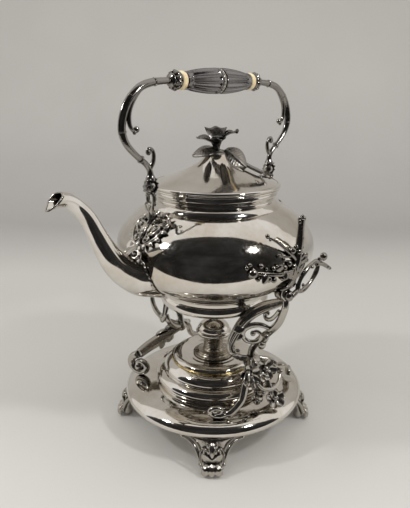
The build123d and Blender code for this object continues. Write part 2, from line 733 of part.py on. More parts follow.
def make_handle_arm(ferrule):
    """The -Y arm: a scrolled bail end with its spur, curl and forked bud."""
    with BuildPart() as arm:
        rod([(0, y, z) for y, z in ARM_POINTS], 4.0, ends=False)
        rod([(0, y, z) for y, z in SPUR_POINTS], 2.3)
        ball((0, -109, 360.5), 3.4)
        rod([(0, y, z) for y, z in CURL_POINTS], 2.2)
        ball((0, -92.5, 340.5), 3.2)
        ball((0, -MOUNT_Y, HANDLE_AXIS_Z), BUD_RADIUS)
        ball((0, -MOUNT_Y, HANDLE_AXIS_Z + 6.5), 6.0)
        with Locations((0, -MOUNT_Y, HANDLE_AXIS_Z - 9)):
            Box(30, TONGUE_WIDTH + 2 * SIDE_GAP, 30, mode=Mode.SUBTRACT)
        bar(along(0, -MOUNT_Y - 10, HANDLE_AXIS_Z), HANDLE_PIN_RADIUS, 20, mode=Mode.SUBTRACT)
        for side in (-1, 1):
            face = -MOUNT_Y + side * (BUD_RADIUS - 1)
            bar(along(0, face - (3 if side < 0 else 0), HANDLE_AXIS_Z), 5, 3,
                mode=Mode.SUBTRACT)
        add(ferrule.part, mode=Mode.SUBTRACT)
    return arm


def grip_solid(outline, bore):
    """Add a turned piece about the grip's axis, read from the middle to the front."""
    points = [(-y, GRIP_Z + radius) for y, radius in outline]
    points += [(-outline[-1][0], GRIP_Z + bore), (-outline[0][0], GRIP_Z + bore)]
    axis = Axis((0, 0, GRIP_Z), (0, 1, 0))
    with BuildSketch(Plane.YZ) as section:
        with BuildLine():
            Polyline(*points, close=True)
        make_face()
    revolve(section.sketch, axis=axis)


def make_ferrule():
    """The -Y collar that joins the arm to the grip."""
    with BuildPart() as ferrule:
        grip_solid(FERRULE_OUTLINE, 0)
        bar(along(0, -60, GRIP_Z), ROD_RADIUS, 10, mode=Mode.SUBTRACT)
    return ferrule


def make_ivory_ring():
    """The -Y insulating ring between the grip and its collar."""
    with BuildPart() as ring:
        grip_solid([(47, 7.8), (48, IVORY_RADIUS), (53, IVORY_RADIUS), (54, 7.8)], ROD_RADIUS)
    return ring


def make_grip_half():
    """The -Y half of the fluted grip."""
    with BuildPart() as half:
        grip_solid(GRIP_OUTLINE, ROD_RADIUS)
    return half


def make_grip_band():
    """The raised band round the middle of the grip."""
    with BuildPart() as band:
        grip_solid([(-2.6, 13), (-1.5, BAND_RADIUS), (1.5, BAND_RADIUS), (2.6, 13)], ROD_RADIUS)
    return band


def make_handle_rod():
    """The rod through the grip that ties the two arms together."""
    with BuildPart() as tie:
        bar(along(0, -60, GRIP_Z), ROD_RADIUS, 120)
    return tie


# ---------------------------------------------------------------- assembly

def main():
    os.makedirs("parts", exist_ok=True)

    plate = make_base_plate()
    save(plate, "base_plate")
    holder = make_lamp_holder()
    save(holder, "lamp_holder")
    foot = make_foot(plate)
    for azimuth, name in zip(FOOT_AZIMUTHS, FOOT_NAMES):
        with BuildPart() as placed:
            add(foot.part, rotation=(0, 0, azimuth))
        save(placed, name)
    bracket = make_bracket(plate, holder)
    spray = make_flower_spray(bracket, plate)
    save(bracket, "bracket_right")
    save(mirrored(bracket, Plane.YZ), "bracket_left")
    save(spray, "flower_spray_right")
    save(mirrored(spray, Plane.YZ), "flower_spray_left")
    save(make_bracket_nuts(plate), "bracket_nuts")

    save(make_lamp_font(), "lamp_font")
    save(make_lamp_seat_ring(), "lamp_seat_ring")
    save(make_wick_tube(), "wick_tube")
    save(make_burner_collar(), "burner_collar")
    save(make_wick(), "wick")
    save(make_snuffer_cap(), "snuffer_cap")

    core = make_kettle_core()
    skin = make_kettle_core(swell=2.4)
    neck = make_neck_ring(core)
    lug = make_lug(core, skin)
    twigs = make_twigs(core, lug)
    pin = make_pivot_pin()
    mount = make_handle_mount(core, skin)
    hinge_pin = make_handle_pin()
    body = make_kettle_body(core)
    save(slice_of(body, KETTLE_BOTTOM - 5, BOTTOM_SEAM), "kettle_bottom")
    save(slice_of(body, BOTTOM_SEAM, SHOULDER_SEAM), "kettle_body")
    save(slice_of(body, SHOULDER_SEAM, CROWN_SEAM), "kettle_shoulder")
    save(slice_of(body, CROWN_SEAM, 290), "kettle_crown")
    save(make_foot_ring(core), "foot_ring")
    save(neck, "neck_ring")
    spout = make_spout(core)
    save(spout, "spout")
    for piece, name in ((lug, "pivot_lug"), (twigs, "twig_ornament"), (pin, "pivot_pin")):
        save(piece, f"{name}_right")
        save(mirrored(piece, Plane.YZ), f"{name}_left")
    save(mirrored(mount, Plane.XZ), "handle_mount_rear")
    with BuildPart() as mount_front:
        add(mount.part)
        add(spout.part, mode=Mode.SUBTRACT)
    save(mount_front, "handle_mount_front")
    save(hinge_pin, "handle_pin_front")
    save(mirrored(hinge_pin, Plane.XZ), "handle_pin_rear")

    lid = make_lid_shell()
    save(lid, "lid_shell")
    save(make_lid_bezel(), "lid_bezel")
    rim = make_lid_rim()
    save(rim, "lid_rim")
    save(make_lid_hinge_leaf(rim), "lid_hinge_leaf")
    save(make_body_hinge_leaf(neck), "body_hinge_leaf")
    save(make_lid_hinge_pin(), "lid_hinge_pin")
    flower = make_finial_flower()
    save(flower, "finial_flower")
    save(make_finial_leaves(flower), "finial_leaves")
    save(make_finial_nut(), "finial_nut")

    ferrule = make_ferrule()
    pieces = (
        (make_handle_arm(ferrule), "handle_arm"), (ferrule, "ferrule"),
        (make_ivory_ring(), "ivory_ring"), (make_grip_half(), "grip_half"),
    )
    for piece, name in pieces:
        save(piece, f"{name}_front")
        save(mirrored(piece, Plane.XZ), f"{name}_rear")
    save(make_grip_band(), "grip_band")
    save(make_handle_rod(), "handle_rod")


if __name__ == "__main__":
    main()
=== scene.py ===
"""Spirit kettle on its stand: the finished pieces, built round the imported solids.

Lengths inside the shape functions are in millimetres. They become metres when a piece is made.
"""

import json
import math

import bmesh
import bpy
from mathutils import Matrix, Vector


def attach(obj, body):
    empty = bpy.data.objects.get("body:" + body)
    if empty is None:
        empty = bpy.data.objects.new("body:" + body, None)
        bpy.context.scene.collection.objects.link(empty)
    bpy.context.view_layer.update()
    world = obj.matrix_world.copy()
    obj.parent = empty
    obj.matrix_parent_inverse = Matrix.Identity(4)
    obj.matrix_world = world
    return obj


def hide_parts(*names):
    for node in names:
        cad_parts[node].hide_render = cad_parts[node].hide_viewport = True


bl_info = {
    "name": "Spirit kettle on stand",
    "version": (1, 0, 0),
    "blender": (4, 5, 0),
    "location": "View3D > Sidebar > Kettle",
    "description": "Dresses the solids of a silver-plated spirit kettle with cast ornament",
    "category": "Object",
}

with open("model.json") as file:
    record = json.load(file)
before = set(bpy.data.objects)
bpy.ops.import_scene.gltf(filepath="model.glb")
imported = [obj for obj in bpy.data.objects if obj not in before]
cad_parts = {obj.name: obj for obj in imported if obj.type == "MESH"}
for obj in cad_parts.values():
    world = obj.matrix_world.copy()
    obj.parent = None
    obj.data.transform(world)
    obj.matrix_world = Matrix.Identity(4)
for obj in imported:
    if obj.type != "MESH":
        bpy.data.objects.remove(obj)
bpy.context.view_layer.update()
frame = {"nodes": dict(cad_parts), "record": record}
MM = 0.001
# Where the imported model's joints sit, in millimetres.
JOINT_PLACES = {
    joint["name"]: [round(value / MM, 3) for value in joint["pos_m"]]
    for joint in frame["record"]["behaviour"]["joints"] if "pos_m" in joint
}
PIVOT_Z = JOINT_PLACES["kettle_tilt"][2]
HINGE_Y, HINGE_Z = JOINT_PLACES["handle_swing"][1:]


# ---------------------------------------------------------------- node and colour helpers

def srgb(code):
    """Turns a hex colour as it is seen into Blender's linear colour."""
    parts = [int(code[i:i + 2], 16) / 255 for i in (1, 3, 5)]
    linear = [p / 12.92 if p <= 0.04045 else ((p + 0.055) / 1.055) ** 2.4 for p in parts]
    return (*linear, 1.0)


def add_node(tree, kind, settings=None, links=None):
    """Adds a node, sets its inputs and properties, and links outputs into its inputs."""
    node = tree.nodes.new(kind)
    for key, value in (settings or {}).items():
        if isinstance(key, int) or key in node.inputs:
            node.inputs[key].default_value = value
        else:
            setattr(node, key, value)
    for key, output in (links or {}).items():
        tree.links.new(output, node.inputs[key])
    return node


def new_material(name):
    """Starts a node material and returns it with its tree, its shader and object coordinates."""
    material = bpy.data.materials.new(name)
    material.use_nodes = True
    tree = material.node_tree
    tree.nodes.clear()
    shader = add_node(tree, "ShaderNodeBsdfPrincipled")
    add_node(tree, "ShaderNodeOutputMaterial", links={"Surface": shader.outputs[0]})
    place = add_node(tree, "ShaderNodeTexCoord").outputs["Object"]
    return material, tree, shader, place


def two_tone(tree, factor, dark, light, low, high):
    """A ramp between two colours over part of a pattern's range."""
    ramp = add_node(tree, "ShaderNodeValToRGB", links={0: factor})
    ends = ramp.color_ramp.elements
    ends[0].position, ends[0].color = low, dark
    ends[1].position, ends[1].color = high, light
    return ramp.outputs["Color"]


def grey(value):
    """A plain grey for a ramp that carries a number."""
    return (value, value, value, 1.0)


# ---------------------------------------------------------------- materials

def polished_plate(name, light, tarnish, rough_low=0.04, rough_high=0.13):
    """Silver plate, spun and hand polished: bright, a little warm where it has tarnished."""
    material, tree, shader, place = new_material(name)
    shader.inputs["Metallic"].default_value = 1.0
    # Tarnish lies in clouds about 45 mm across.
    clouds = add_node(tree, "ShaderNodeTexNoise", {"Scale": 1 / 0.045, "Detail": 5.0, "Roughness": 0.62},
                      {"Vector": place})
    tone = two_tone(tree, clouds.outputs[0], srgb(tarnish), srgb(light), 0.30, 0.62)
    tree.links.new(tone, shader.inputs["Base Color"])
    # Wiping marks are finer than a render can show, so they are drawn 3 mm apart.
    wipes = add_node(tree, "ShaderNodeTexNoise", {"Scale": 1 / 0.003, "Detail": 3.0}, {"Vector": place})
    haze = two_tone(tree, wipes.outputs[0], grey(rough_low), grey(rough_high), 0.35, 0.75)
    tree.links.new(haze, shader.inputs["Roughness"])
    # Spinning and wear leave the wall very slightly uneven, over about 28 mm.
    waves = add_node(tree, "ShaderNodeTexNoise", {"Scale": 1 / 0.028, "Detail": 1.0}, {"Vector": place})
    bump = add_node(tree, "ShaderNodeBump", {"Strength": 0.35, "Distance": 0.0006},
                    {"Height": waves.outputs[0]})
    tree.links.new(bump.outputs[0], shader.inputs["Normal"])
    return material


def cast_plate(name, light, oxide, reach=0.0022, rough=0.16, low=0.72, high=1.16):
    """Cast silver plate: bright on its high places, black with oxide in its hollows."""
    material, tree, shader, place = new_material(name)
    shader.inputs["Metallic"].default_value = 1.0
    hollow = add_node(tree, "ShaderNodeAmbientOcclusion", {"samples": 6, "Distance": reach})
    grain = add_node(tree, "ShaderNodeTexNoise", {"Scale": 1 / 0.0035, "Detail": 4.0}, {"Vector": place})
    mixed = add_node(tree, "ShaderNodeMath", {"operation": "MULTIPLY_ADD", 1: 0.45},
                     {0: grain.outputs[0], 2: hollow.outputs["AO"]})
    tone = two_tone(tree, mixed.outputs[0], srgb(oxide), srgb(light), low, high)
    tree.links.new(tone, shader.inputs["Base Color"])
    rough_tone = two_tone(tree, grain.outputs[0], grey(rough * 0.6), grey(rough * 1.6), 0.3, 0.7)
    tree.links.new(rough_tone, shader.inputs["Roughness"])
    # The casting skin is grained at about 1.2 mm.
    skin = add_node(tree, "ShaderNodeTexNoise", {"Scale": 1 / 0.0012, "Detail": 2.0}, {"Vector": place})
    bump = add_node(tree, "ShaderNodeBump", {"Strength": 0.45, "Distance": 0.00025},
                    {"Height": skin.outputs[0]})
    tree.links.new(bump.outputs[0], shader.inputs["Normal"])
    return material


def turned_ivory():
    """Turned ivory rings: cream, with faint growth lines and a soft sheen."""
    material, tree, shader, place = new_material("turned_ivory")
    lines = add_node(tree, "ShaderNodeTexNoise", {"Scale": 1 / 0.004, "Detail": 4.0}, {"Vector": place})
    tone = two_tone(tree, lines.outputs[0], srgb("#D8C08C"), srgb("#F1E7C8"), 0.3, 0.7)
    tree.links.new(tone, shader.inputs["Base Color"])
    shader.inputs["Roughness"].default_value = 0.34
    shader.inputs["IOR"].default_value = 1.54
    shader.inputs["Subsurface Weight"].default_value = 0.12
    shader.inputs["Subsurface Scale"].default_value = 0.002
    bump = add_node(tree, "ShaderNodeBump", {"Strength": 0.2, "Distance": 0.0002},
                    {"Height": lines.outputs[0]})
    tree.links.new(bump.outputs[0], shader.inputs["Normal"])
    return material


def worn_brass():
    """Brass where the plate has worn through at the lamp's seat."""
    material, tree, shader, place = new_material("worn_brass")
    shader.inputs["Metallic"].default_value = 1.0
    wear = add_node(tree, "ShaderNodeTexNoise", {"Scale": 1 / 0.006, "Detail": 4.0}, {"Vector": place})
    tone = two_tone(tree, wear.outputs[0], srgb("#8A744A"), srgb("#CDBB8C"), 0.3, 0.7)
    tree.links.new(tone, shader.inputs["Base Color"])
    haze = two_tone(tree, wear.outputs[0], grey(0.14), grey(0.3), 0.3, 0.7)
    tree.links.new(haze, shader.inputs["Roughness"])
    return material


def cotton_wick():
    """Woven cotton wick: cream below, charred at its end."""
    material, tree, shader, place = new_material("cotton_wick")
    height = add_node(tree, "ShaderNodeSeparateXYZ", links={0: place}).outputs[2]
    # Metres above the table between which the cotton turns to char.
    char_start, char_end = 0.121, 0.1245
    char = add_node(tree, "ShaderNodeMapRange", {1: char_start, 2: char_end}, {0: height})
    # The braid's threads are 0.9 mm apart.
    braid = add_node(tree, "ShaderNodeTexWave", {"Scale": 1 / 0.0009 / 6.28, "Distortion": 2.0},
                     {"Vector": place})
    tone = two_tone(tree, char.outputs[0], srgb("#D8CBB0"), srgb("#2A2420"), 0.1, 0.9)
    tree.links.new(tone, shader.inputs["Base Color"])
    shader.inputs["Roughness"].default_value = 0.9
    bump = add_node(tree, "ShaderNodeBump", {"Strength": 0.6, "Distance": 0.0003},
                    {"Height": braid.outputs[0]})
    tree.links.new(bump.outputs[0], shader.inputs["Normal"])
    return material


def turned_steel():
    """Plain turned steel for pins, nuts and the tie rod."""
    material, tree, shader, place = new_material("turned_steel")
    shader.inputs["Metallic"].default_value = 1.0
    marks = add_node(tree, "ShaderNodeTexNoise", {"Scale": 1 / 0.0015, "Detail": 3.0}, {"Vector": place})
    tone = two_tone(tree, marks.outputs[0], srgb("#8F8F8D"), srgb("#BDBDBA"), 0.3, 0.7)
    tree.links.new(tone, shader.inputs["Base Color"])
    haze = two_tone(tree, marks.outputs[0], grey(0.22), grey(0.42), 0.3, 0.7)
    tree.links.new(haze, shader.inputs["Roughness"])
    return material


def backdrop_paper_painted_light():
    """Matt pale grey paper, its tone painted with light and shade: pale where the object stands, greyer where
    it turns up, pale above.
    """
    material, tree, shader, place = new_material("backdrop_paper_painted_light")
    # Noise wobbles the edges of the bands of painted light and shade.
    painted_light_wobble = add_node(tree, "ShaderNodeTexNoise", {"Scale": 2.6, "Detail": 2.0}, {"Vector": place})
    depth = add_node(tree, "ShaderNodeSeparateXYZ", links={0: place}).outputs[1]
    drift = add_node(tree, "ShaderNodeMath", {"operation": "MULTIPLY_ADD", 1: 0.30},
                     {0: painted_light_wobble.outputs[0], 2: depth})
    # Metres along the stage, with the noise wobble added, over which the painted light and shade below run.
    front, back = -0.20, 1.75
    reach = add_node(tree, "ShaderNodeMapRange", {1: front, 2: back}, {0: drift.outputs[0]})
    ramp = add_node(tree, "ShaderNodeValToRGB", links={0: reach.outputs[0]})
    # Share of the way from the front edge to the wall, and the painted light and shade on the paper there.
    # These tones are painted light and shade, the lamps' falloff and the shadows on the floor, laid over the
    # paper's own pale grey.
    painted_light_tones = ((0.0, "#E2E0DD"), (0.20, "#CBCAC6"), (0.42, "#CFCECB"), (0.68, "#B6B5B3"), (0.86, "#BDBCBA"),
             (1.0, "#CBC9C6"))
    stops = ramp.color_ramp.elements
    while len(stops) < len(painted_light_tones):
        stops.new(0.5)
    for stop, (share, code) in zip(stops, painted_light_tones):
        stop.position, stop.color = share, srgb(code)
    tree.links.new(ramp.outputs[0], shader.inputs["Base Color"])
    shader.inputs["Roughness"].default_value = 0.85
    return material


def black_felt():
    """The dark felt that hangs in front of the object, in folds about 0.6 m across."""
    material, tree, shader, place = new_material("black_felt")
    folds = add_node(tree, "ShaderNodeTexNoise", {"Scale": 1.7, "Detail": 4.0, "Roughness": 0.6},
                     {"Vector": place})
    tone = two_tone(tree, folds.outputs[0], srgb("#0C0D0F"), srgb("#3C3C3E"), 0.42, 0.78)
    tree.links.new(tone, shader.inputs["Base Color"])
    shader.inputs["Roughness"].default_value = 0.95
    return material


# The finishes, by the short names that the pieces ask for.
MATERIALS = {}
# The finish that a solid of each material slot starts from.
SLOT_FINISH = {
    "silver_plate": "plate", "silver_oxidised": "cast", "finial_dark": "flower", "grip_silver": "grip",
    "ivory": "ivory", "brass": "brass", "burner_metal": "burner", "wick_cotton": "wick", "steel": "steel",
}
# The ribbed burner is drawn in place of every solid in the burner's slot.
BURNER_NODES = tuple(part["node"] for part in frame["record"]["subparts"]
                     if part["material_slot"] == "burner_metal")


def make_materials(look):
    """Makes every finish; look holds the colours chosen in the panel."""
    MATERIALS["plate"] = polished_plate("polished_silver_plate", look.silver, look.tarnish)
    MATERIALS["cast"] = cast_plate("cast_silver_plate", look.cast_silver, look.oxide)
    MATERIALS["arm"] = cast_plate("oxidised_silver_arms", "#94908B", "#171513", 0.006, 0.13)
    MATERIALS["bark"] = cast_plate("bark_silver_twigs", "#98938C", "#141211", 0.004, 0.18)
    # The grip is painted near black over most of each flute: oxide in the hollows, with painted shade and a
    # painted dark reflection over the rest of the flute.
    MATERIALS["grip"] = cast_plate("fluted_grip_oxide_painted_shade", "#8E8B8B", "#0D0C0D", 0.0035, 0.11, 0.92, 1.24)
    MATERIALS["flower"] = cast_plate("blackened_silver_flower", "#6F6C69", "#0E0D0D", 0.003, 0.26)
    MATERIALS["leaves"] = cast_plate("veined_silver_leaves", "#8A857F", "#1A1715", 0.003, 0.34)
    MATERIALS["burner"] = cast_plate("smoked_burner_plate", "#A39A8C", "#1B1816", 0.0015, 0.2)
    MATERIALS["ivory"] = turned_ivory()
    MATERIALS["brass"] = worn_brass()
    MATERIALS["wick"] = cotton_wick()
    MATERIALS["steel"] = turned_steel()


class KETTLE_OT_finishes(bpy.types.Operator):
    """Make every finish from the colours chosen in the panel"""

    bl_idname = "kettle.finishes"
    bl_label = "Finishes"

    def execute(self, context):
        make_materials(context.scene.kettle_finish)
        return {"FINISHED"}


# ---------------------------------------------------------------- shape helpers

def smooth_path(points, steps):
    """Points along a smooth curve through the given ones; each may carry extra numbers."""
    rows = [tuple(float(v) for v in point) for point in points]
    rows = [rows[0], *rows, rows[-1]]
    path = []
    for a, b, c, d in zip(rows, rows[1:], rows[2:], rows[3:]):
        for step in range(steps):
            t = step / steps
            path.append(tuple(
                0.5 * (2 * q + (r - p) * t + (2 * p - 5 * q + 4 * r - s) * t * t
                       + (3 * q - p - 3 * r + s) * t ** 3)
                for p, q, r, s in zip(a, b, c, d)))
    path.append(rows[-2])
    return path


class Casting:
    """One piece while it is gathered, in millimetres, from its separate forms."""

    def __init__(self):
        self.mesh = bmesh.new()

    def skin(self, rings):
        """Joins rings of points, one after another, and closes the first and last."""
        rows = [[self.mesh.verts.new(point) for point in ring] for ring in rings]
        count = len(rows[0])
        for low, high in zip(rows, rows[1:]):
            for i in range(count):
                j = (i + 1) % count
                self.mesh.faces.new((low[i], low[j], high[j], high[i]))
        self.mesh.faces.new(rows[0][::-1])
        self.mesh.faces.new(rows[-1])

    def strand(self, points, sides=12, steps=6, thick=1.0, up=(0, 0, 1), ribs=0, groove=0.0):
        """A drawn-out form along (x, y, z, radius) points; thick flattens it along up."""
        path = smooth_path(points, steps)
        centres = [Vector(point[:3]) for point in path]
        side = None
        rings = []
        for i, centre in enumerate(centres):
            ahead = centres[min(i + 1, len(centres) - 1)] - centres[max(i - 1, 0)]
            ahead.normalize()
            if side is None:
                side = ahead.cross(Vector(up))
                if side.length < 1e-4:
                    side = ahead.cross(Vector((1, 0, 0)))
            side = (side - ahead * side.dot(ahead)).normalized()
            over = ahead.cross(side)
            ring = []
            for k in range(sides):
                turn = math.tau * k / sides
                radius = max(path[i][3], 0.05) * (1 + groove * math.cos(ribs * turn))
                ring.append(centre + side * (radius * math.cos(turn))
                            + over * (radius * thick * math.sin(turn)))
            rings.append(ring)
        self.skin(rings)

    def bead(self, centre, radius, scale=(1, 1, 1), axis=(0, 0, 1)):
        """A rounded bead or bud, stretched by scale and stood along axis."""
        turn = Vector((0, 0, 1)).rotation_difference(Vector(axis)).to_matrix().to_4x4()
        size = Matrix.Diagonal((scale[0] * radius, scale[1] * radius, scale[2] * radius, 1))
        bmesh.ops.create_uvsphere(self.mesh, u_segments=14, v_segments=9, radius=1.0,
                                  matrix=Matrix.Translation(centre) @ turn @ size)

    def turned(self, profile, centre=(0, 0, 0), axis=(0, 0, 1), sides=96, lobes=0, depth=None, fluted=False):
        """A turned form from (radius, height) points; lobes or hollow flutes go in by depth(height)."""
        turn = Vector((0, 0, 1)).rotation_difference(Vector(axis))
        rings = []
        for radius, height in profile:
            ring = []
            for k in range(sides):
                angle = math.tau * k / sides
                reach = radius
                if lobes:
                    wave = abs(math.sin(lobes * angle / 2))
                    reach -= depth(height) * (wave ** 0.8 if fluted else 1 - wave ** 0.55)
                ring.append(Vector(centre) + turn @ Vector(
                    (reach * math.cos(angle), reach * math.sin(angle), height)))
            rings.append(ring)
        self.skin(rings)

    def sheet(self, rows, thickness):
        """A closed sheet of metal over a grid of points, thickened to its underside."""
        grid = [[Vector(point) for point in row] for row in rows]
        high, wide = len(grid), len(grid[0])
        under = []
        for i, row in enumerate(grid):
            line = []
            for j, point in enumerate(row):
                along = grid[min(i + 1, high - 1)][j] - grid[max(i - 1, 0)][j]
                across = row[min(j + 1, wide - 1)] - row[max(j - 1, 0)]
                normal = along.cross(across)
                if normal.length < 1e-7:
                    normal = Vector((0, 0, 1))
                # The metal thins out along the sheet's edge.
                edge = 0.45 if i in (0, high - 1) or j in (0, wide - 1) else 1.0
                line.append(point - normal.normalized() * thickness * edge)
            under.append(line)
        top = [[self.mesh.verts.new(p) for p in row] for row in grid]
        low = [[self.mesh.verts.new(p) for p in row] for row in under]
        for i in range(high - 1):
            for j in range(wide - 1):
                self.mesh.faces.new((top[i][j], top[i + 1][j], top[i + 1][j + 1], top[i][j + 1]))
                self.mesh.faces.new((low[i][j], low[i][j + 1], low[i + 1][j + 1], low[i + 1][j]))
        for i in range(high - 1):
            for j, order in ((0, 1), (wide - 1, -1)):
                face = (top[i][j], low[i][j], low[i + 1][j], top[i + 1][j])
                self.mesh.faces.new(face[::order])
        for j in range(wide - 1):
            for i, order in ((0, -1), (high - 1, 1)):
                face = (top[i][j], low[i][j], low[i][j + 1], top[i][j + 1])
                self.mesh.faces.new(face[::order])

    def leaf(self, base, tip, normal, width, thickness=0.8, arch=0.0, curl=0.0, cup=0.0,
             teeth=5, bite=0.18, vein=0.5, shape=0.85, rows=16, columns=13):
        """A cast leaf from its base to its tip, with a toothed edge and pressed veins."""
        base, tip, normal = Vector(base), Vector(tip), Vector(normal).normalized()
        length = (tip - base).length
        ahead = (tip - base) / length
        side = ahead.cross(normal).normalized()
        normal = side.cross(ahead)
        grid = []
        for i in range(rows + 1):
            u = i / rows
            # The outline: a swelling, bitten into by the teeth, more deeply towards the tip.
            swell = max(math.sin(math.pi * min(1, 0.04 + u ** shape * 0.96)), 0.02) ** 0.7
            swell *= 1 - bite * abs(math.sin(math.pi * teeth * u)) * (0.3 + 0.7 * u)
            lift = arch * math.sin(math.pi * u) + curl * u ** 3
            line = []
            for j in range(columns):
                v = 2 * j / (columns - 1) - 1
                # A rib along the middle, and side veins that slant from it to the teeth.
                rib = vein * math.exp(-(v / 0.10) ** 2)
                side_rib = 0.35 * vein * (0.5 + 0.5 * math.cos(math.tau * (teeth * u - 1.3 * abs(v))))
                rise = lift - cup * v * v + rib - side_rib * min(1, abs(v) * 3) * (1 - u ** 4)
                line.append(base + ahead * (length * u) + side * (0.5 * width * swell * v)
                            + normal * rise)
            grid.append(line)
        self.sheet(grid, thickness)

    def blossom(self, centre, axis, radius, petals=5, cup=0.35, turn=0.0, ruffle=0.08,
                thickness=0.7, heart=0.22):
        """An open flower: ruffled petals round a beaded heart."""
        centre, axis = Vector(centre), Vector(axis).normalized()
        spin = Vector((0, 0, 1)).rotation_difference(axis)
        for p in range(petals):
            middle = math.tau * p / petals + turn
            grid = []
            for i in range(8):
                u = i / 7
                spread = (math.pi / petals) * 1.12 * math.sin(math.pi * (0.18 + 0.62 * u)) ** 0.8
                line = []
                for j in range(9):
                    v = j / 4 - 1
                    angle = middle + spread * v
                    reach = radius * (0.12 + 0.88 * u) * (1 - 0.20 * u * v * v)
                    rise = radius * (cup * u ** 1.6 + ruffle * u * math.cos(3 * math.pi * v)
                                     - 0.16 * u * (1 - v * v) + 0.03 * (p % 2))
                    line.append(centre + spin @ Vector((reach * math.cos(angle),
                                                        reach * math.sin(angle), rise)))
                grid.append(line)
            self.sheet(grid, thickness)
        self.bead(centre + axis * (0.10 * radius), heart * radius)
        for p in range(6):
            angle = math.tau * p / 6
            place = spin @ Vector((0.24 * radius * math.cos(angle), 0.24 * radius * math.sin(angle),
                                   0.20 * radius))
            self.bead(centre + place, 0.09 * radius)

    def volute(self, centre, right, up, start, turns, outer, inner, radius, thick=1.0, eye=1.5,
               squeeze=1.0):
        """A scroll that winds in from its outer radius to a bead at its eye."""
        centre, right, up = Vector(centre), Vector(right).normalized(), Vector(up).normalized()
        points = []
        count = max(8, int(abs(turns) * 12))
        for i in range(count + 1):
            t = i / count
            angle = math.radians(start) + math.tau * turns * t
            reach = outer * (inner / outer) ** t
            place = centre + right * (reach * math.cos(angle)) + up * (
                squeeze * reach * math.sin(angle))
            points.append((*place, radius * (1 - 0.45 * t)))
        self.strand(points, sides=10, steps=3, thick=thick, up=right.cross(up))
        self.bead(Vector(points[-1][:3]), radius * 0.8 * eye)

    def mirror(self, axis):
        """Turns the whole piece into its mirror image across the plane normal to an axis."""
        for vert in self.mesh.verts:
            vert.co[axis] = -vert.co[axis]
        bmesh.ops.reverse_faces(self.mesh, faces=self.mesh.faces)


def make_piece(name, casting, body, material, replaces=(), smoothing=1):
    """Turns a gathered piece into an object that rides on its body, in its finish."""
    bmesh.ops.scale(casting.mesh, vec=(MM, MM, MM), verts=casting.mesh.verts)
    mesh = bpy.data.meshes.new(name)
    casting.mesh.to_mesh(mesh)
    casting.mesh.free()
    mesh.polygons.foreach_set("use_smooth", [True] * len(mesh.polygons))
    piece = bpy.data.objects.new(name, mesh)
    bpy.context.scene.collection.objects.link(piece)
    piece.data.materials.append(MATERIALS[material])
    if smoothing:
        subdivide = piece.modifiers.new("rounding", "SUBSURF")
        subdivide.levels = smoothing
        subdivide.render_levels = smoothing
    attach(piece, body)
    if replaces:
        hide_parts(*replaces)


def finish_node(node, material):
    """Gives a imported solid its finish."""
    solid = frame["nodes"][node]
    solid.data.materials.clear()
    solid.data.materials.append(MATERIALS[material])


# ---------------------------------------------------------------- the kettle's surface

# The line that the ornament is laid on: outside radius and height, from the foot ring to the neck.
BELLY = smooth_path([
    (76, 187.4), (88, 192), (100, 200), (108, 210), (111.6, 222), (112, 232),
    (109.5, 243), (104, 252), (95, 262), (84, 270.5), (73, 276), (69.5, 279.5), (67, 285),
    (68.5, 290.5), (70, 293),
], 8)
WIDEST = 232.0


def belly_radius(height):
    """The body's outside radius at a height."""
    for (r0, z0), (r1, z1) in zip(BELLY, BELLY[1:]):
        if z0 <= height <= z1:
            return r0 + (r1 - r0) * (height - z0) / (z1 - z0)
    return BELLY[0][0] if height < BELLY[0][1] else BELLY[-1][0]


def belly_table():
    """Rows of arc length, radius, height and outward normal down the body's meridian."""
    rows = []
    length = 0.0
    for i, (radius, height) in enumerate(BELLY):
        if i:
            length += math.dist(BELLY[i - 1], (radius, height))
        low = BELLY[max(i - 1, 0)]
        high = BELLY[min(i + 1, len(BELLY) - 1)]
        run, rise = high[0] - low[0], high[1] - low[1]
        size = math.hypot(run, rise)
        rows.append((length, radius, height, rise / size, -run / size))
    start = min(rows, key=lambda row: abs(row[2] - WIDEST))[0]
    return [(row[0] - start, *row[1:]) for row in rows]


MERIDIAN = belly_table()


def wrap_on_belly(casting, azimuth):
    """Bends a flat piece (across, up the surface, out) onto the body at an azimuth."""
    for vert in casting.mesh.verts:
        across, climb, out = vert.co
        climb = min(max(climb, MERIDIAN[0][0]), MERIDIAN[-1][0])
        for low, high in zip(MERIDIAN, MERIDIAN[1:]):
            if climb <= high[0]:
                break
        t = (climb - low[0]) / (high[0] - low[0])
        radius, height, n_out, n_up = (low[k] + (high[k] - low[k]) * t for k in (1, 2, 3, 4))
        angle = math.radians(azimuth) + across / radius
        reach = radius + out * n_out
        vert.co = (reach * math.cos(angle), reach * math.sin(angle), height + out * n_up)


# ---------------------------------------------------------------- spout

SPOUT_LINE = smooth_path([
    # y, z, how steeply it rises in degrees, half height, half width
    (-84, 213, 8, 27, 23), (-106, 215, 14, 22.5, 19), (-121, 221, 24, 18, 15.5),
    (-134, 231, 34, 15, 13), (-144, 243.5, 45, 12.6, 11.5), (-151.5, 257, 57, 10.4, 10),
    (-158.5, 272, 65, 8.8, 8.4), (-166.5, 287, 64, 8.1, 7.7), (-176.5, 298, 55, 7.8, 7.4),
    (-187, 304.5, 47, 8.6, 8.2), (-197.4, 305.1, 45, 11.0, 9.4),
], 6)
# Share of the spout's length at which its lip starts, how deep its root is set into the body, and the
# height above which it is clear of the body.
LIP_START = 0.82
ROOT_DEPTH = 1.2
CLEAR_OF_BODY = 276.0


def bulge(turn, middle, spread):
    """A smooth bump round the spout's section, from 0 to 1, about an angle in degrees."""
    return math.exp(-((math.degrees(turn) - middle) / spread) ** 2)


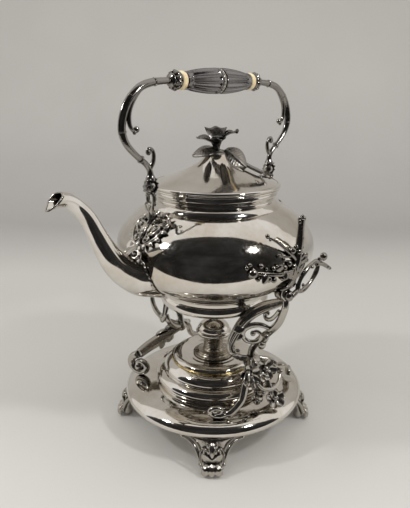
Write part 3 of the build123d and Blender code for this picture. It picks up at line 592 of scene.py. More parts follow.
def spout_point(station, turn, inward):
    """A point of the spout's skin: turn runs from its side over the edge towards the kettle."""
    y, z, steepness, high, wide = SPOUT_LINE[station]
    t = station / (len(SPOUT_LINE) - 1)
    rise = math.radians(steepness)
    # Two keels run along the spout, with a hollow between them.
    ridge = 0.075 * min(1, max(0, (t - 0.12) / 0.2))
    swell = 1.0
    for middle in (38, 142):
        swell += ridge * bulge(turn, middle, 10)
    swell -= 0.6 * ridge * bulge(turn, 90, 26)
    if t > LIP_START:
        # The lip draws out to a point at its far edge.
        lip = (t - LIP_START) / (1 - LIP_START)
        swell += 0.10 * lip ** 2 * bulge(turn, 270, 30)
        swell -= 0.13 * lip ** 2 * bulge(turn, 222, 20)
        swell -= 0.13 * lip ** 2 * bulge(turn, 318, 20)
    across = (wide - inward) * math.cos(turn) * swell
    over = (high - inward) * math.sin(turn) * swell
    return Vector((across, y + over * math.sin(rise), z + over * math.cos(rise)))


def seat_on_belly(point, depth):
    """Moves a point that lies inside the body out to just under its skin."""
    limit = belly_radius(point.z) - depth
    reach = math.hypot(point.x, point.y)
    if reach < limit and point.z < CLEAR_OF_BODY:
        point.x *= limit / reach
        point.y *= limit / reach
    return point


class KETTLE_OT_spout(bpy.types.Operator):
    """Draw the swan-neck spout with its keeled sides, open lip and scalloped root"""

    bl_idname = "kettle.spout"
    bl_label = "Spout"

    def execute(self, context):
        sides = 64
        turns = [math.tau * k / sides for k in range(sides)]
        last = len(SPOUT_LINE) - 1
        # The inside runs down from the lip to this station, well below what one can look into.
        inside_end = 11
        wall = 1.5
        spout = Casting()
        rings = []
        for station in range(last + 1):
            rings.append([seat_on_belly(spout_point(station, turn, 0), ROOT_DEPTH) for turn in turns])
        for station in range(last, inside_end, -1):
            rings.append([spout_point(station, turn, wall) for turn in turns])
        spout.skin(rings)
        make_piece("spout_skin", spout, "kettle", "plate", ("spout",), 0)

        trim = Casting()
        bead_inset = 1.1
        bead_radius = 0.9
        lip = [spout_point(last, turn, bead_inset) for turn in turns]
        trim.strand([(*p, bead_radius) for p in [*lip[::2], lip[0], lip[2]]], sides=8, steps=3)
        # A scalloped seam follows the line where the spout comes out of the body.
        seam = []
        for turn in turns:
            for station in range(last):
                point = spout_point(station, turn, 0)
                if math.hypot(point.x, point.y) > belly_radius(point.z) + 0.1:
                    break
            scallop = 0.8 + 0.75 * abs(math.sin(4.5 * turn))
            seam.append((*point, scallop))
        trim.strand([*seam, seam[0], seam[1]], sides=8, steps=2)
        # The cast crest over the root: a shell between two scrolls.
        for side in (-1, 1):
            trim.volute((side * 6.5, -117.5, 242), (side, 0.15, -0.25), (0, 0.62, 0.78), 200, 1.15,
                        6.5, 1.8, 1.9)
            trim.leaf((side * 2, -111, 243), (side * 13, -119, 233), (side * 0.4, -0.6, 0.7), 8,
                      arch=1.5, curl=1.2, teeth=4)
        trim.leaf((0, -110.5, 247), (0, -128, 235), (0, -0.5, 0.86), 11, arch=2.6, curl=1.5, teeth=5)
        make_piece("spout_trim", trim, "kettle", "cast")
        return {"FINISHED"}


# ---------------------------------------------------------------- handle mounts

# The shellwork is drawn larger than the mount and brought down to its size about its top edge.
MOUNT_WIDTH_SHARE = 0.74
MOUNT_HEIGHT_SHARE = 0.76
MOUNT_DRAWN_TOP = 55
MOUNT_TOP = 57.5


def rocaille():
    """The pierced shellwork of a handle mount, drawn flat: across, up the surface, out."""
    shells = Casting()
    shells.strand([(0, 2, 1.5, 2.4), (1.5, 14, 3.6, 2.9), (-1, 28, 4.2, 2.6), (0, 42, 4.8, 3.0),
                   (0, 52, 5, 3.2)], up=(0, 0, 1))
    for side in (-1, 1):
        shells.volute((side * 13.5, 27, 2.6), (side, 0, 0), (0, 1, 0), 250, 1.25, 10.5, 2.4, 2.3, 0.9)
        shells.volute((side * 21, 39, 2.4), (side, 0, 0), (0, 1, 0), 230, 1.2, 7.0, 1.8, 1.9, 0.9)
        shells.volute((side * 8.5, 9, 2.2), (side, 0, 0), (0, -1, 0), 240, 1.2, 7.0, 1.8, 2.0, 0.9)
        shells.strand([(side * 1, 0, 1.6, 1.2), (side * 11, 2, 2, 2.0), (side * 20, 9, 2, 2.2),
                       (side * 27, 20, 2, 2.3), (side * 30, 32, 2, 2.0), (side * 27, 42, 2, 1.6),
                       (side * 20, 47, 2, 1.2)])
        shells.strand([(side * 2, 46, 4, 2.0), (side * 9, 44, 3.6, 2.2), (side * 15, 48, 3, 1.8),
                       (side * 14, 54, 3, 1.3)])
        for start, tip, width in (
                ((16, 8), (26, 2), 7), ((22, 15), (33, 11), 7), ((25, 24), (36, 24), 7),
                ((26, 34), (35, 38), 6.5), ((9, 4), (16, -5), 7), ((5, 50), (16, 57), 7),
                ((20, 44), (28, 50), 6)):
            shells.leaf((side * start[0], start[1], 2.2), (side * tip[0], tip[1], 1.2), (0, 0, 1), width,
                        arch=1.4, curl=0.8, teeth=3, rows=8, columns=9)
        for x, y, r in ((13.5, 27, 2.6), (21, 39, 2.0), (8.5, 9, 2.2), (29, 33, 1.7), (5, 36, 2.2),
                        (7, 19, 1.8), (17, 17, 1.8), (24, 47, 1.6)):
            shells.bead((side * x, y, 3.2), r)
    shells.leaf((0, 6, 3), (0, -8, 1.4), (0, 0, 1), 9, arch=1.8, curl=0.8, teeth=4)
    shells.leaf((0, 30, 5), (0, 14, 4.4), (0, 0, 1), 9, arch=2.2, curl=1.0, teeth=4)
    for vert in shells.mesh.verts:
        across, climb, out = vert.co
        vert.co = (MOUNT_WIDTH_SHARE * across,
                   MOUNT_TOP - MOUNT_HEIGHT_SHARE * (MOUNT_DRAWN_TOP - climb), out)
    return shells


def mount_post():
    """The ring and hinge tongue that stand over the -Y mount."""
    post = Casting()
    y = HINGE_Y
    # The ring runs on past its start by one step, so that its ends meet.
    ring = [(5.2 * math.cos(angle), y, 293 + 6.3 * math.sin(angle), 2.1)
            for angle in (math.tau * k / 16 for k in range(18))]
    post.strand(ring, sides=12, steps=2, up=(0, 1, 0), thick=1.15)
    post.turned([(2.2, -2.5), (5.0, -2.5), (5.2, -1.8), (5.2, 1.8), (5.0, 2.5), (2.2, 2.5)],
                (0, y, HINGE_Z), (0, 1, 0), 32)
    post.strand([(0, y - 1.5, 272, 3.4), (0, y - 0.5, 279, 3.2), (0, y, 286, 3.0)])
    for side in (-1, 1):
        post.leaf((side * 2, y - 1.5, 276), (side * 6.5, y - 1, 289), (0.3 * side, -1, 0.1), 6,
                  arch=1.2, curl=1.5, teeth=3, rows=8, columns=7)
        post.bead((side * 6.4, y, 288), 1.7)
        post.bead((side * 6.8, y, 298), 1.5)
    return post


class KETTLE_OT_handle_mounts(bpy.types.Operator):
    """Draw the pierced shellwork mounts that carry the handle"""

    bl_idname = "kettle.handle_mounts"
    bl_label = "Handle mounts"

    def execute(self, context):
        for name, azimuth, flip in (("front", -90, False), ("rear", 90, True)):
            plate = rocaille()
            wrap_on_belly(plate, azimuth)
            make_piece(f"mount_shellwork_{name}", plate, "kettle", "cast",
                       (f"handle_mount_{name}",))
            post = mount_post()
            if flip:
                post.mirror(1)
            make_piece(f"mount_ring_{name}", post, "kettle", "cast")
        return {"FINISHED"}


# ---------------------------------------------------------------- handle

GRIP_Z = 406.5
# Half sizes of the bud at the arm's foot, and half the gap in it for the hinge tongue.
BUD_X, BUD_Y, BUD_Z = 6.6, 7.9, 8.6
BUD_GAP = 2.95
COLLAR_LOBES = 10
BAND_BEADS = 22
# Distances from the grip's middle: where its flutes begin and end, and where the grip itself ends.
FLUTE_START = 2.8
FLUTE_END = 42.2
GRIP_END = 42
FLUTE_DEPTH = 2.0


def split_bud(arm):
    """The shell bud at the -Y arm's foot, split for the hinge tongue, with ribs round each cheek."""
    for side in (-1, 1):
        cheek = bmesh.ops.create_uvsphere(
            arm.mesh, u_segments=24, v_segments=16, radius=1.0,
            matrix=Matrix.Translation((0, HINGE_Y, HINGE_Z)) @ Matrix.Diagonal((BUD_X, BUD_Y, BUD_Z, 1)))
        faces = list({face for vert in cheek["verts"] for face in vert.link_faces})
        edges = list({edge for face in faces for edge in face.edges})
        cut = bmesh.ops.bisect_plane(
            arm.mesh, geom=cheek["verts"] + edges + faces, plane_co=(0, HINGE_Y + side * BUD_GAP, 0),
            plane_no=(0, side, 0), clear_inner=True)
        rim = [item for item in cut["geom_cut"] if isinstance(item, bmesh.types.BMEdge)]
        bmesh.ops.contextual_create(arm.mesh, geom=rim)
        for k in range(4):
            rise = HINGE_Z + 5.5 - 4.2 * k
            reach = math.sqrt(max(0.05, 1 - ((rise - HINGE_Z) / 8.9) ** 2))
            rib = []
            for step in range(7):
                angle = math.radians(-78 + 26 * step)
                rib.append((BUD_X * reach * math.sin(angle),
                            HINGE_Y + side * max(3.4, BUD_Y * reach * math.cos(angle)),
                            rise + 2.2 * math.sin(angle), 1.15))
            arm.strand(rib, sides=8, steps=3)
    arm.strand([(0, HINGE_Y, HINGE_Z + 5.6, 5.4), (0, HINGE_Y, HINGE_Z + 8.5, 5.0),
                (0, HINGE_Y, HINGE_Z + 12, 3.2)], sides=16)


def handle_arm():
    """The -Y arm: keeled scroll, spur, curl and the shell bud that grips the tongue."""
    arm = Casting()
    line = [(-62.5, 406.2, 3.0), (-77, 405.5, 3.3), (-89, 404, 3.7), (-101, 400, 4.0),
            (-112, 391, 4.2), (-119.5, 380, 4.2), (-123.3, 368, 4.1), (-123.2, 358, 3.9),
            (-118, 347, 3.5), (-107, 336, 3.1), (-97.5, 328.5, 3.0), (-92.2, 321, 3.1),
            (-91.5, 313, 4.2)]
    arm.strand([(0, y, z, r) for y, z, r in line], sides=16, steps=6, up=(1, 0, 0),
               ribs=4, groove=0.07)
    spur = [(-101, 399, 2.6), (-109, 390, 2.8), (-114.5, 379, 2.6), (-115, 368, 2.3),
            (-111.5, 361, 1.9), (-107.5, 360.5, 1.6)]
    arm.strand([(0, y, z, r) for y, z, r in spur], sides=12, steps=6, up=(1, 0, 0), ribs=3, groove=0.06)
    arm.bead((0, -107, 361.5), 3.2)
    arm.bead((0, -109.5, 358.5), 2.0)
    curl = [(-93.5, 321, 2.4), (-88.5, 328, 2.5), (-86.8, 335, 2.2), (-88.5, 341, 1.9),
            (-93, 342.8, 1.7), (-95.4, 339.5, 1.6)]
    arm.strand([(0, y, z, r) for y, z, r in curl], sides=12, steps=6, up=(1, 0, 0))
    arm.bead((0, -93.6, 339), 2.9)
    # Raised joint bands round the arm.
    for y, z, dy, dz in ((-112, 391, -0.70, -0.71), (-123.3, 360, 0.05, -1), (-103, 333, 0.80, -0.60),
                         (-84, 404.8, -1, -0.08)):
        arm.turned([(2.5, -1.1), (4.2, -0.8), (4.4, 0), (4.2, 0.8), (2.5, 1.1)], (0, y, z),
                   (0, dy, dz), 24)
    split_bud(arm)
    return arm


def collar_lobe_depth(distance):
    """The collar's lobes are cut in its widest part only."""
    return 1.5 if 56 < distance < 61.5 else 0


def collar():
    """The -Y collar between the insulating ring and the arm: a lobed cup inside a ring of beads."""
    piece = Casting()
    piece.turned([(3, 54), (8.0, 54), (8.6, 54.8), (7.4, 55.8), (9.8, 57.2), (10.4, 59), (9.0, 61),
                  (6.4, 62), (7.2, 63), (6.6, 64.4), (3, 65.5)], (0, 0, GRIP_Z), (0, -1, 0), 96,
                 COLLAR_LOBES, collar_lobe_depth)
    for k in range(COLLAR_LOBES):
        angle = math.tau * (k + 0.5) / COLLAR_LOBES
        piece.bead((8.2 * math.cos(angle), -60.8, GRIP_Z + 8.2 * math.sin(angle)), 1.5)
    return piece


def insulating_ring():
    """The -Y ivory ring."""
    piece = Casting()
    piece.turned([(3.2, 47), (7.6, 47), (8.9, 48), (9.3, 49.4), (9.3, 51.6), (8.9, 53), (7.8, 54),
                  (3.2, 54)], (0, 0, GRIP_Z), (0, -1, 0), 64)
    return piece


def flute_depth(distance):
    """How deep the grip's flutes are at a distance from its middle: they run out at both ends."""
    start = min(1, max(0, (distance - FLUTE_START) / 2.5))
    end = min(1, max(0, (FLUTE_END - distance) / 3.0))
    return FLUTE_DEPTH * start * end


def grip_half(flutes):
    """The -Y half of the grip: fluted, thinner towards its end, and closed by two small rings."""
    piece = Casting()
    profile = [(3.2, 2.6), (12.6, 2.7)]
    steps = 26
    for step in range(steps):
        distance = 3.2 + 38.8 * step / (steps - 1)
        profile.append((13.45 - 4.4 * (distance / GRIP_END) ** 2.1, distance))
    profile += [(8.4, 43), (8.9, 44.2), (8.3, 45.2), (8.9, 46.2), (8.2, 47), (3.2, 47)]
    piece.turned(profile, (0, 0, GRIP_Z), (0, -1, 0), flutes * 12, flutes, flute_depth, True)
    return piece


def beaded_band():
    """The band round the grip's middle."""
    piece = Casting()
    piece.turned([(3.2, -2.6), (12.6, -2.6), (13.0, -1.6), (12.6, 0), (13.0, 1.6), (12.6, 2.6), (3.2, 2.6)],
                 (0, 0, GRIP_Z), (0, 1, 0), 64)
    for k in range(BAND_BEADS):
        angle = math.tau * k / BAND_BEADS
        piece.bead((12.1 * math.cos(angle), 0, GRIP_Z + 12.1 * math.sin(angle)), 1.35)
    return piece


class KETTLE_OT_handle(bpy.types.Operator):
    """Draw the swing handle: cast arms, collars, insulating rings and the fluted grip"""

    bl_idname = "kettle.handle"
    bl_label = "Handle"

    def execute(self, context):
        flutes = context.scene.kettle_form.flutes
        for name, flip in (("front", False), ("rear", True)):
            for piece, label, slot, material, node, smoothing in (
                    (handle_arm(), "arm", "silver_oxidised", "arm", "handle_arm", 1),
                    (collar(), "collar", "silver_oxidised", "arm", "ferrule", 0),
                    (insulating_ring(), "insulator", "ivory", "ivory", "ivory_ring", 1),
                    (grip_half(flutes), "fluted_half", "grip_silver", "grip", "grip_half", 0)):
                if flip:
                    piece.mirror(1)
                make_piece(f"{label}_{name}", piece, "handle", material, (f"{node}_{name}",),
                           smoothing)
        make_piece("beaded_band", beaded_band(), "handle", "cast", ("grip_band",))
        return {"FINISHED"}


# ---------------------------------------------------------------- lid finial

STEM_TOP = 341.5
PETAL_METAL = 1.2
LEAF_METAL = 1.2


def petal(turn, reach, lift, width):
    """Rows of points of one crumpled petal, which opens from the stem's top and lifts at its tip."""
    angle = math.radians(turn)
    ahead = Vector((math.cos(angle), math.sin(angle), 0))
    side = Vector((-math.sin(angle), math.cos(angle), 0))
    rows = []
    for i in range(14):
        u = i / 13
        breadth = width * math.sin(math.pi * (0.10 + 0.56 * u)) ** 0.9
        row = []
        for j in range(15):
            v = j / 7 - 1
            rise = STEM_TOP + lift * math.sin(0.5 * math.pi * u) ** 0.8
            rise += 3.0 * v * v * math.sin(math.pi * u)
            rise += 1.1 * u * math.sin(4.5 * v + turn) + 1.5 * max(0, u - 0.75) * (1 - v * v)
            rise += 0.3 * math.cos(8 * v) * u
            row.append(ahead * (2.0 + (reach - 2.0) * u * (1 - 0.20 * v * v))
                       + side * (0.5 * breadth * v) + Vector((0, 0, rise)))
        rows.append(row)
    return rows


def finial_flower():
    """The blackened open flower on its short stem, with a beaded heart."""
    flower = Casting()
    flower.strand([(0, 0, 330, 4.2), (0.3, 0, 335, 3.6), (0, 0.3, 339, 4.4), (0, 0, 343, 6.2)],
                  sides=14, ribs=5, groove=0.10)
    # Each petal: turn about the stem, reach, how far its tip lifts, and its width.
    for turn, reach, lift, width in ((226, 22.0, 6.5, 27), (140, 15, 16.5, 25), (46, 22.5, 13.0, 23),
                                     (316, 12.5, 6.0, 21)):
        flower.sheet(petal(turn, reach, lift, width), PETAL_METAL)
    # One petal's lip rolls over at its end.
    flower.strand([(11.5, 19.5, 354.6, 1.6), (15.5, 16.5, 355.6, 2.1), (18.5, 12.5, 354.0, 1.7)],
                  sides=10)
    flower.bead((1, 1, 346.5), 4.6, (1, 1, 0.9))
    stamens = 8
    for k in range(stamens):
        angle = math.tau * k / stamens
        flower.bead((1 + 4.2 * math.cos(angle), 1 + 4.2 * math.sin(angle), 348.6), 1.5)
    return flower


def finial_leaves():
    """The veined leaves that lie on the lid, the button under them and the twig beside them."""
    leaves = Casting()
    leaves.turned([(0, 328.6), (11.2, 329.2), (11.6, 331), (9.8, 333.4), (4, 334.4), (0, 334.6)],
                  sides=40)
    # Base, tip, the way the face looks, width, teeth and rows of points of each leaf.
    for base, tip, face, width, teeth, rows in (
            ((-1, -1, 336.0), (-16.0, -20.5, 329.0), (0.20, -0.45, 1), 24, 9, 28),
            ((6.0, 7.0, 334.5), (29, 17.5, 316.5), (0.50, -0.50, 0.80), 28, 11, 30),
            ((-4, 5, 334.5), (-15, 22, 325.5), (-0.15, 0.2, 1), 20, 6, 24)):
        leaves.leaf(base, tip, face, width, LEAF_METAL, arch=2.0, curl=-0.6, cup=1.4, teeth=teeth,
                    bite=0.14, vein=1.3, shape=0.80, rows=rows, columns=23)
    leaves.strand([(8, 9, 331.5, 2.6), (18, 18, 323.4, 2.4), (28, 26.5, 316.4, 2.3),
                   (36.5, 34, 311.4, 2.4)], sides=12, ribs=3, groove=0.08)
    leaves.bead((36.8, 34.3, 311.2), 2.9, (1, 1, 0.8))
    return leaves


class KETTLE_OT_finial(bpy.types.Operator):
    """Draw the blackened open flower and the veined leaves that lie on the lid"""

    bl_idname = "kettle.finial"
    bl_label = "Lid finial"

    def execute(self, context):
        make_piece("finial_flower_petals", finial_flower(), "lid", "flower",
                   ("finial_flower",))
        make_piece("finial_leaf_spray", finial_leaves(), "lid", "leaves",
                   ("finial_leaves",))
        return {"FINISHED"}


# ---------------------------------------------------------------- tilting pivots

# How much lower the left twigs stop than the right ones.
LEFT_TWIG_DROP = 13
# The pin's looped twig: its distance from the axis, its slope, its middle and its half sizes.
LOOP_X = 112.6
LOOP_SLOPE = math.radians(36)
LOOP_Y, LOOP_Z = 27, 211
LOOP_LONG, LOOP_SHORT = 20, 9
# Radius about the kettle's axis at which the berries sit on the belly.
BERRY_RADIUS = 113.6


def pivot_lug():
    """The +X boss and its leafy patch."""
    lug = Casting()
    for climb, reach, width, out in ((-36, 26, 13, 1.2), (-20, 20, 12, 1.6)):
        lug.leaf((0, climb + reach * 0.1, out + 1.6), (0, climb + reach, out), (0, 0, 1), width, 1.8,
                 arch=1.5)
    for side in (-1, 1):
        lug.leaf((side * 1, -14, 2.6), (side * 12, -6, 1.2), (0, 0, 1), 9, 1.6, arch=1.6, curl=0.6, teeth=4)
        lug.leaf((side * 1, -24, 2.6), (side * 11, -28, 1.2), (0, 0, 1), 8, 1.6, arch=1.6, curl=0.6, teeth=4)
    wrap_on_belly(lug, 0)
    lug.strand([(96, 0, 208, 6.2), (103, 0, 209, 5.6), (108, 0, 212, 4.2), (111, 0, 220, 3.0)], sides=14,
               ribs=5, groove=0.08)
    lug.turned([(3.2, 0), (6.5, 0), (6.5, 8.2), (6.1, 8.8), (3.2, 8.8)], (93.6, 0, PIVOT_Z), (1, 0, 0), 40)
    return lug


def twig_leaf(spray, base, tip, face, width):
    """A small toothed leaf on a twig, which looks the way of face."""
    spray.leaf(base, tip, face, width, 1.1, arch=1.0, curl=0.8, cup=0.8, teeth=4, rows=10, columns=9)


def berries(spray, sink, places):
    """Berries on the belly at (y, z, radius), their centres sunk in from the berry radius."""
    for y, z, radius in places:
        spray.bead((math.sqrt(BERRY_RADIUS ** 2 - y * y) - sink, y, z), radius)


def twigs(drop):
    """The bark twigs, leaves and berries beside the +X pivot, their tops lower by drop."""
    spray = Casting()
    spray.strand([(113, 1, 222, 3.4), (113.9, 3.5, 232, 4.2), (114.2, 5.5, 243, 3.7),
                  (113.9, 6.5, 254 - 0.3 * drop, 4.1), (113.4, 7.4, 266 - 0.7 * drop, 3.5),
                  (113.2, 8, 277 - drop, 4.0)], sides=15, ribs=5, groove=0.12)
    for k, (y, z) in enumerate(((9, 280), (5.5, 279), (11.5, 277.5), (8, 276), (4.8, 275.5))):
        spray.bead((113.6, y, z - 1.5 - drop), 1.7 + 0.25 * (k % 3), (1, 1, 1.3))
    spray.bead((115.2, 7.2, 257), 2.9, (1, 1, 1.2))
    spray.bead((115.2, 4.4, 243.5), 3.2, (1, 1.1, 1))
    spray.bead((113.4, 1.6, 249), 2.6)
    spray.bead((115.2, 9.4, 247), 1.9)
    # The long thin shoot with its bud, and the short one below it.
    spray.strand([(114, 3, 234, 2.2), (112.5, -6, 243 - 0.4 * drop, 1.7),
                  (109.5, -15, 251 - 0.7 * drop, 1.4), (106.5, -22, 257 - drop, 1.3),
                  (102.5, -29, 262 - drop, 1.2)], sides=9, ribs=3, groove=0.1)
    spray.bead((102, -30, 263 - drop), 2.3, (1, 1, 1.3), (0, -0.6, 0.8))
    spray.bead((103.4, -27.4, 259.2 - drop), 1.5)
    spray.strand([(112.5, -5, 240, 1.5), (111, -13, 240.5, 1.3), (109.6, -19, 242.5, 1.1)], sides=8)
    spray.bead((109.4, -20, 243), 2.0)
    spray.bead((110.9, -14, 238), 1.6)
    spray.bead((113.8, -4.5, 246), 3.7, (1, 1, 1))
    # The branch that runs forward to the leafed berry.
    spray.strand([(113.6, 3, 227, 3.0), (114.0, -8, 224.5, 2.9), (112.6, -20, 224.5, 2.6),
                  (109.0, -32, 226.5, 2.5), (104.0, -42, 228.5, 2.4), (101.5, -47, 229.5, 2.2)], sides=12,
                 ribs=5, groove=0.1)
    spray.bead((101.8, -49.5, 229.5), 5.4, (1, 1, 0.95))
    berries(spray, 0.8, ((-55, 235.5, 2.3), (-52, 238, 2.0), (-41.5, 236, 2.7), (-44, 222.5, 2.4),
                         (-36, 232, 2.0)))
    berries(spray, 0.6, ((-33, 221.5, 3.6), (-27, 219.5, 3.2), (-22, 230.5, 3.4), (-15, 219.5, 3.6),
                         (-14, 230, 3.2), (-8, 233, 3.6), (-28, 231.5, 2.8), (-39, 225, 3.2)))
    for base, tip, width in (((108.5, -34, 227), (107.5, -42, 219), 10),
                             ((112, -22, 227), (113.6, -23, 236), 10),
                             ((113.6, -12, 227), (115.6, -17, 219), 10)):
        twig_leaf(spray, base, tip, (1, -0.25, 0.1), width)
    # Berries and leaves where the branch meets the pivot.
    for y, z, r in ((-3, 229, 3.6), (4, 233, 3.2), (10, 228, 3.4), (16, 232, 3.0), (22, 230, 2.5),
                    (2, 222.5, 3.0)):
        spray.bead((114.4 - 0.004 * y * y, y, z), r)
    spray.strand([(114, 6, 229, 2.6), (114, 13, 230.5, 2.4), (112.6, 21, 230.5, 2.0)], sides=10)
    for base, tip, width in (((114.5, 4, 234), (116, 12, 241), 7), ((114, 10, 232), (114.5, 20, 236), 7),
                             ((114.5, 0, 226), (116.5, 6, 217.5), 8)):
        twig_leaf(spray, base, tip, (1, 0.1, 0.15), width)
    return spray


def pivot_pin():
    """The +X pivot pin: a turned pin, drawn out by a looped bark twig with berries."""
    pin = Casting()
    pin.turned([(0.2, 98), (3.0, 98.3), (3.0, 108.4), (5.5, 108.4), (5.9, 110), (5.2, 112.2), (2.6, 113.4),
                (0.2, 113.8)], (0, 0, PIVOT_Z), (1, 0, 0), 36)
    # The loop runs on past its start, so that its ends meet.
    loop = []
    for step in range(26):
        turn = math.tau * step / 24
        along = LOOP_LONG * math.cos(turn)
        over = LOOP_SHORT * math.sin(turn)
        knot = 0.35 * math.sin(5 * turn)
        loop.append((LOOP_X, LOOP_Y + along * math.cos(LOOP_SLOPE) - over * math.sin(LOOP_SLOPE),
                     LOOP_Z + along * math.sin(LOOP_SLOPE) + over * math.cos(LOOP_SLOPE), 2.55 + knot))
    pin.strand(loop, sides=12, steps=3, ribs=4, groove=0.10, up=(1, 0, 0))
    pin.strand([(112.6, 1, 196, 3.0), (112.6, 6, 198, 3.0), (112.6, 11.5, 200, 2.6)], sides=12)
    pin.strand([(112.6, 40, 221, 2.8), (113, 48, 220.5, 2.5), (113.3, 56, 217, 2.3), (113.5, 65, 211.5, 2.0)],
               sides=12, ribs=4, groove=0.1)
    pin.bead((113.6, 65.4, 211.3), 2.2, (1, 1, 0.8))
    pin.strand([(112.6, 42, 222, 2.3), (113, 47, 225, 2.0), (113, 52, 226, 1.9)], sides=10)
    pin.bead((113, 53, 227.2), 4.4, (0.95, 1, 1.05))
    pin.bead((113.4, 44.5, 226.4), 2.2)
    pin.bead((115.2, 60, 214.5), 1.6)
    pin.bead((115, 30, 221.5), 2.2)
    pin.bead((115, 16, 204.5), 2.0)
    return pin


class KETTLE_OT_pivots(bpy.types.Operator):
    """Draw the pivot bosses, the bark twigs beside them and the looped pivot pins"""

    bl_idname = "kettle.pivots"
    bl_label = "Tilting pivots"

    def execute(self, context):
        for name, flip in (("right", False), ("left", True)):
            for piece, label, body, node in (
                    (pivot_lug(), "pivot_boss", "kettle", "pivot_lug"),
                    (twigs(LEFT_TWIG_DROP if flip else 0), "twig_spray", "kettle", "twig_ornament"),
                    (pivot_pin(), "looped_pin", f"pin_{name}", "pivot_pin")):
                if flip:
                    piece.mirror(0)
                make_piece(f"{label}_{name}", piece, body, "bark", (f"{node}_{name}",))
        return {"FINISHED"}


# ---------------------------------------------------------------- brackets

def foot_scroll(casting, centre, along, over, reach=11.4, squeeze=0.60, radius=3.7):
    """The flattened scroll that a leg ends in: along points to its open side.

    The leg comes in over the scroll's top or, where over is False, along its underside. reach is the
    scroll's outer radius, squeeze its height as a share of its width, and radius the strand's own.
    """
    centre, along = Vector(centre), Vector(along).normalized()
    start, turns = (100, 1.35) if over else (-28, -1.5)
    casting.volute(centre, along, (0, 0, 1), start, turns, reach, 0.25 * reach, radius, 1.1, 1.4, squeeze)
    out = along.cross(Vector((0, 0, 1))).normalized()
    casting.turned([(0.5, -1.6), (3.2, -1.6), (4.0, 0), (3.2, 1.6), (0.5, 1.6)], centre, out, 24)


# Where a bracket's stems and legs meet, and where its eye starts.
KNOT = (60, 0, 103)
EYE_X = 103


def bracket_stems(piece):
    """The bracket's eye, its outer scroll, the ribbed ribbon inside it and the hook under the eye."""
    # The eye that the pivot pin passes through.
    piece.turned([(3.1, 0), (6.2, 0), (7.0, 0.8), (7.0, 4.2), (6.2, 5.0), (3.1, 5.0)], (EYE_X, 0, PIVOT_Z),
                 (1, 0, 0), 40)
    piece.strand([(105.5, 0, 190, 3.6), (105.2, 0, 180, 3.9), (98, 0, 161, 4.1), (85, 0, 145, 4.1),
                  (71, 0, 130, 4.1), (62, 0, 116, 4.1), (*KNOT, 4.4)], sides=16, steps=6, up=(0, 1, 0),
                 ribs=4, groove=0.09)
    ribbon = [(105, -0.5, 188, 3.4), (94, -2.5, 182.5, 5.0), (80, -6, 174.5, 6.0), (68, -12.5, 164, 6.3),
              (61, -20, 151.5, 5.8), (57.2, -27, 138, 4.8), (56.5, -30.5, 129, 3.8), (59, -31, 122, 3.0),
              (63.5, -29, 120.5, 2.4), (66, -27, 124, 2.0)]
    piece.strand(ribbon, sides=28, steps=6, thick=0.5, up=(1, -0.4, 0.6), ribs=9, groove=0.10)
    # A cord runs along each edge of the ribbon's broad part.
    for side in (-1, 1):
        edge = [(x + side * 0.30 * r, y - side * 0.62 * r, z - side * 0.62 * r, 0.30 * r)
                for x, y, z, r in ribbon[:7]]
        piece.strand(edge, sides=8)
    piece.bead((65, -27.5, 124), 3.2)
    # The hook that turns back under the eye.
    piece.strand([(99, -1, 176, 2.4), (94, -1.5, 168, 2.6), (88, -1.5, 162, 2.8), (82, -1.5, 161, 2.6),
                  (80, -1.5, 165.5, 2.3), (83.5, -1.5, 169, 2.1)], sides=12, thick=0.9, ribs=3, groove=0.07)
    piece.bead((83.6, -1.5, 168), 2.8)


def bracket_leafwork(piece):
    """The rolled leaf between the stems, the hanging bud and the leafed knot."""
    # The rolled leaf, open in the middle.
    piece.strand([(88, -1, 151, 2.6), (80, -8, 155, 3.2), (71, -14, 153, 3.5), (64.5, -18, 146, 3.3),
                  (64, -17, 137, 3.0), (69, -12, 132, 2.8), (76, -6, 134, 2.6), (79, -5, 141, 2.4),
                  (75.5, -8, 145.5, 2.2), (71, -11, 143, 2.0)], sides=14, thick=0.9, ribs=3, groove=0.09)
    piece.bead((71.5, -10.5, 142.5), 3.2)
    for base, tip, width in (((66, -19, 150), (57.5, -27, 146), 11), ((64, -18, 143), (56, -24, 134), 10),
                             ((82, -3, 146), (90, -8, 140), 9)):
        piece.leaf(base, tip, (0.5, -0.8, 0.3), width, 1.6, arch=1.8, curl=1.4, teeth=3, bite=0.10, rows=10,
                   columns=9)
    piece.strand([(57, -27, 128, 3.0), (54.5, -25, 118, 3.5), (55.5, -15, 109, 3.8), (60, -3, 104, 4.0)],
                 sides=14, ribs=3, groove=0.08)
    # The hanging bud.
    piece.strand([(84, 0, 145, 2.3), (83.5, 0, 138, 2.2), (79, 0, 130.5, 2.2)], sides=10)
    piece.bead((76.5, 0, 126.5), 5.0, (0.9, 0.9, 1.2), (0.5, 0, 1))
    piece.bead((78.8, 0, 130.8), 3.2)
    # The knot where stems and legs meet, with three leaves that fold down round it.
    piece.bead(KNOT, 6.4, (1, 1, 1.1))
    for turn in (-70, 0, 70):
        angle = math.radians(turn)
        out = Vector((math.cos(angle), math.sin(angle), 0))
        base = Vector((60, 0, 107)) + out * 3
        tip = Vector((60, 0, 98)) + out * 12
        piece.leaf(base, tip, out + Vector((0, 0, 0.7)), 12, 1.6, arch=2.6, curl=1.4, teeth=3, bite=0.10,
                   rows=10, columns=9)


def leg_leaf(piece, base, tip, side, width):
    """A leaf that lies on a leg."""
    piece.leaf(base, tip, (0.4, side * 0.3, 0.85), width, 1.8, arch=2.6, curl=1.2, teeth=3, bite=0.10,
               rows=12, columns=9)


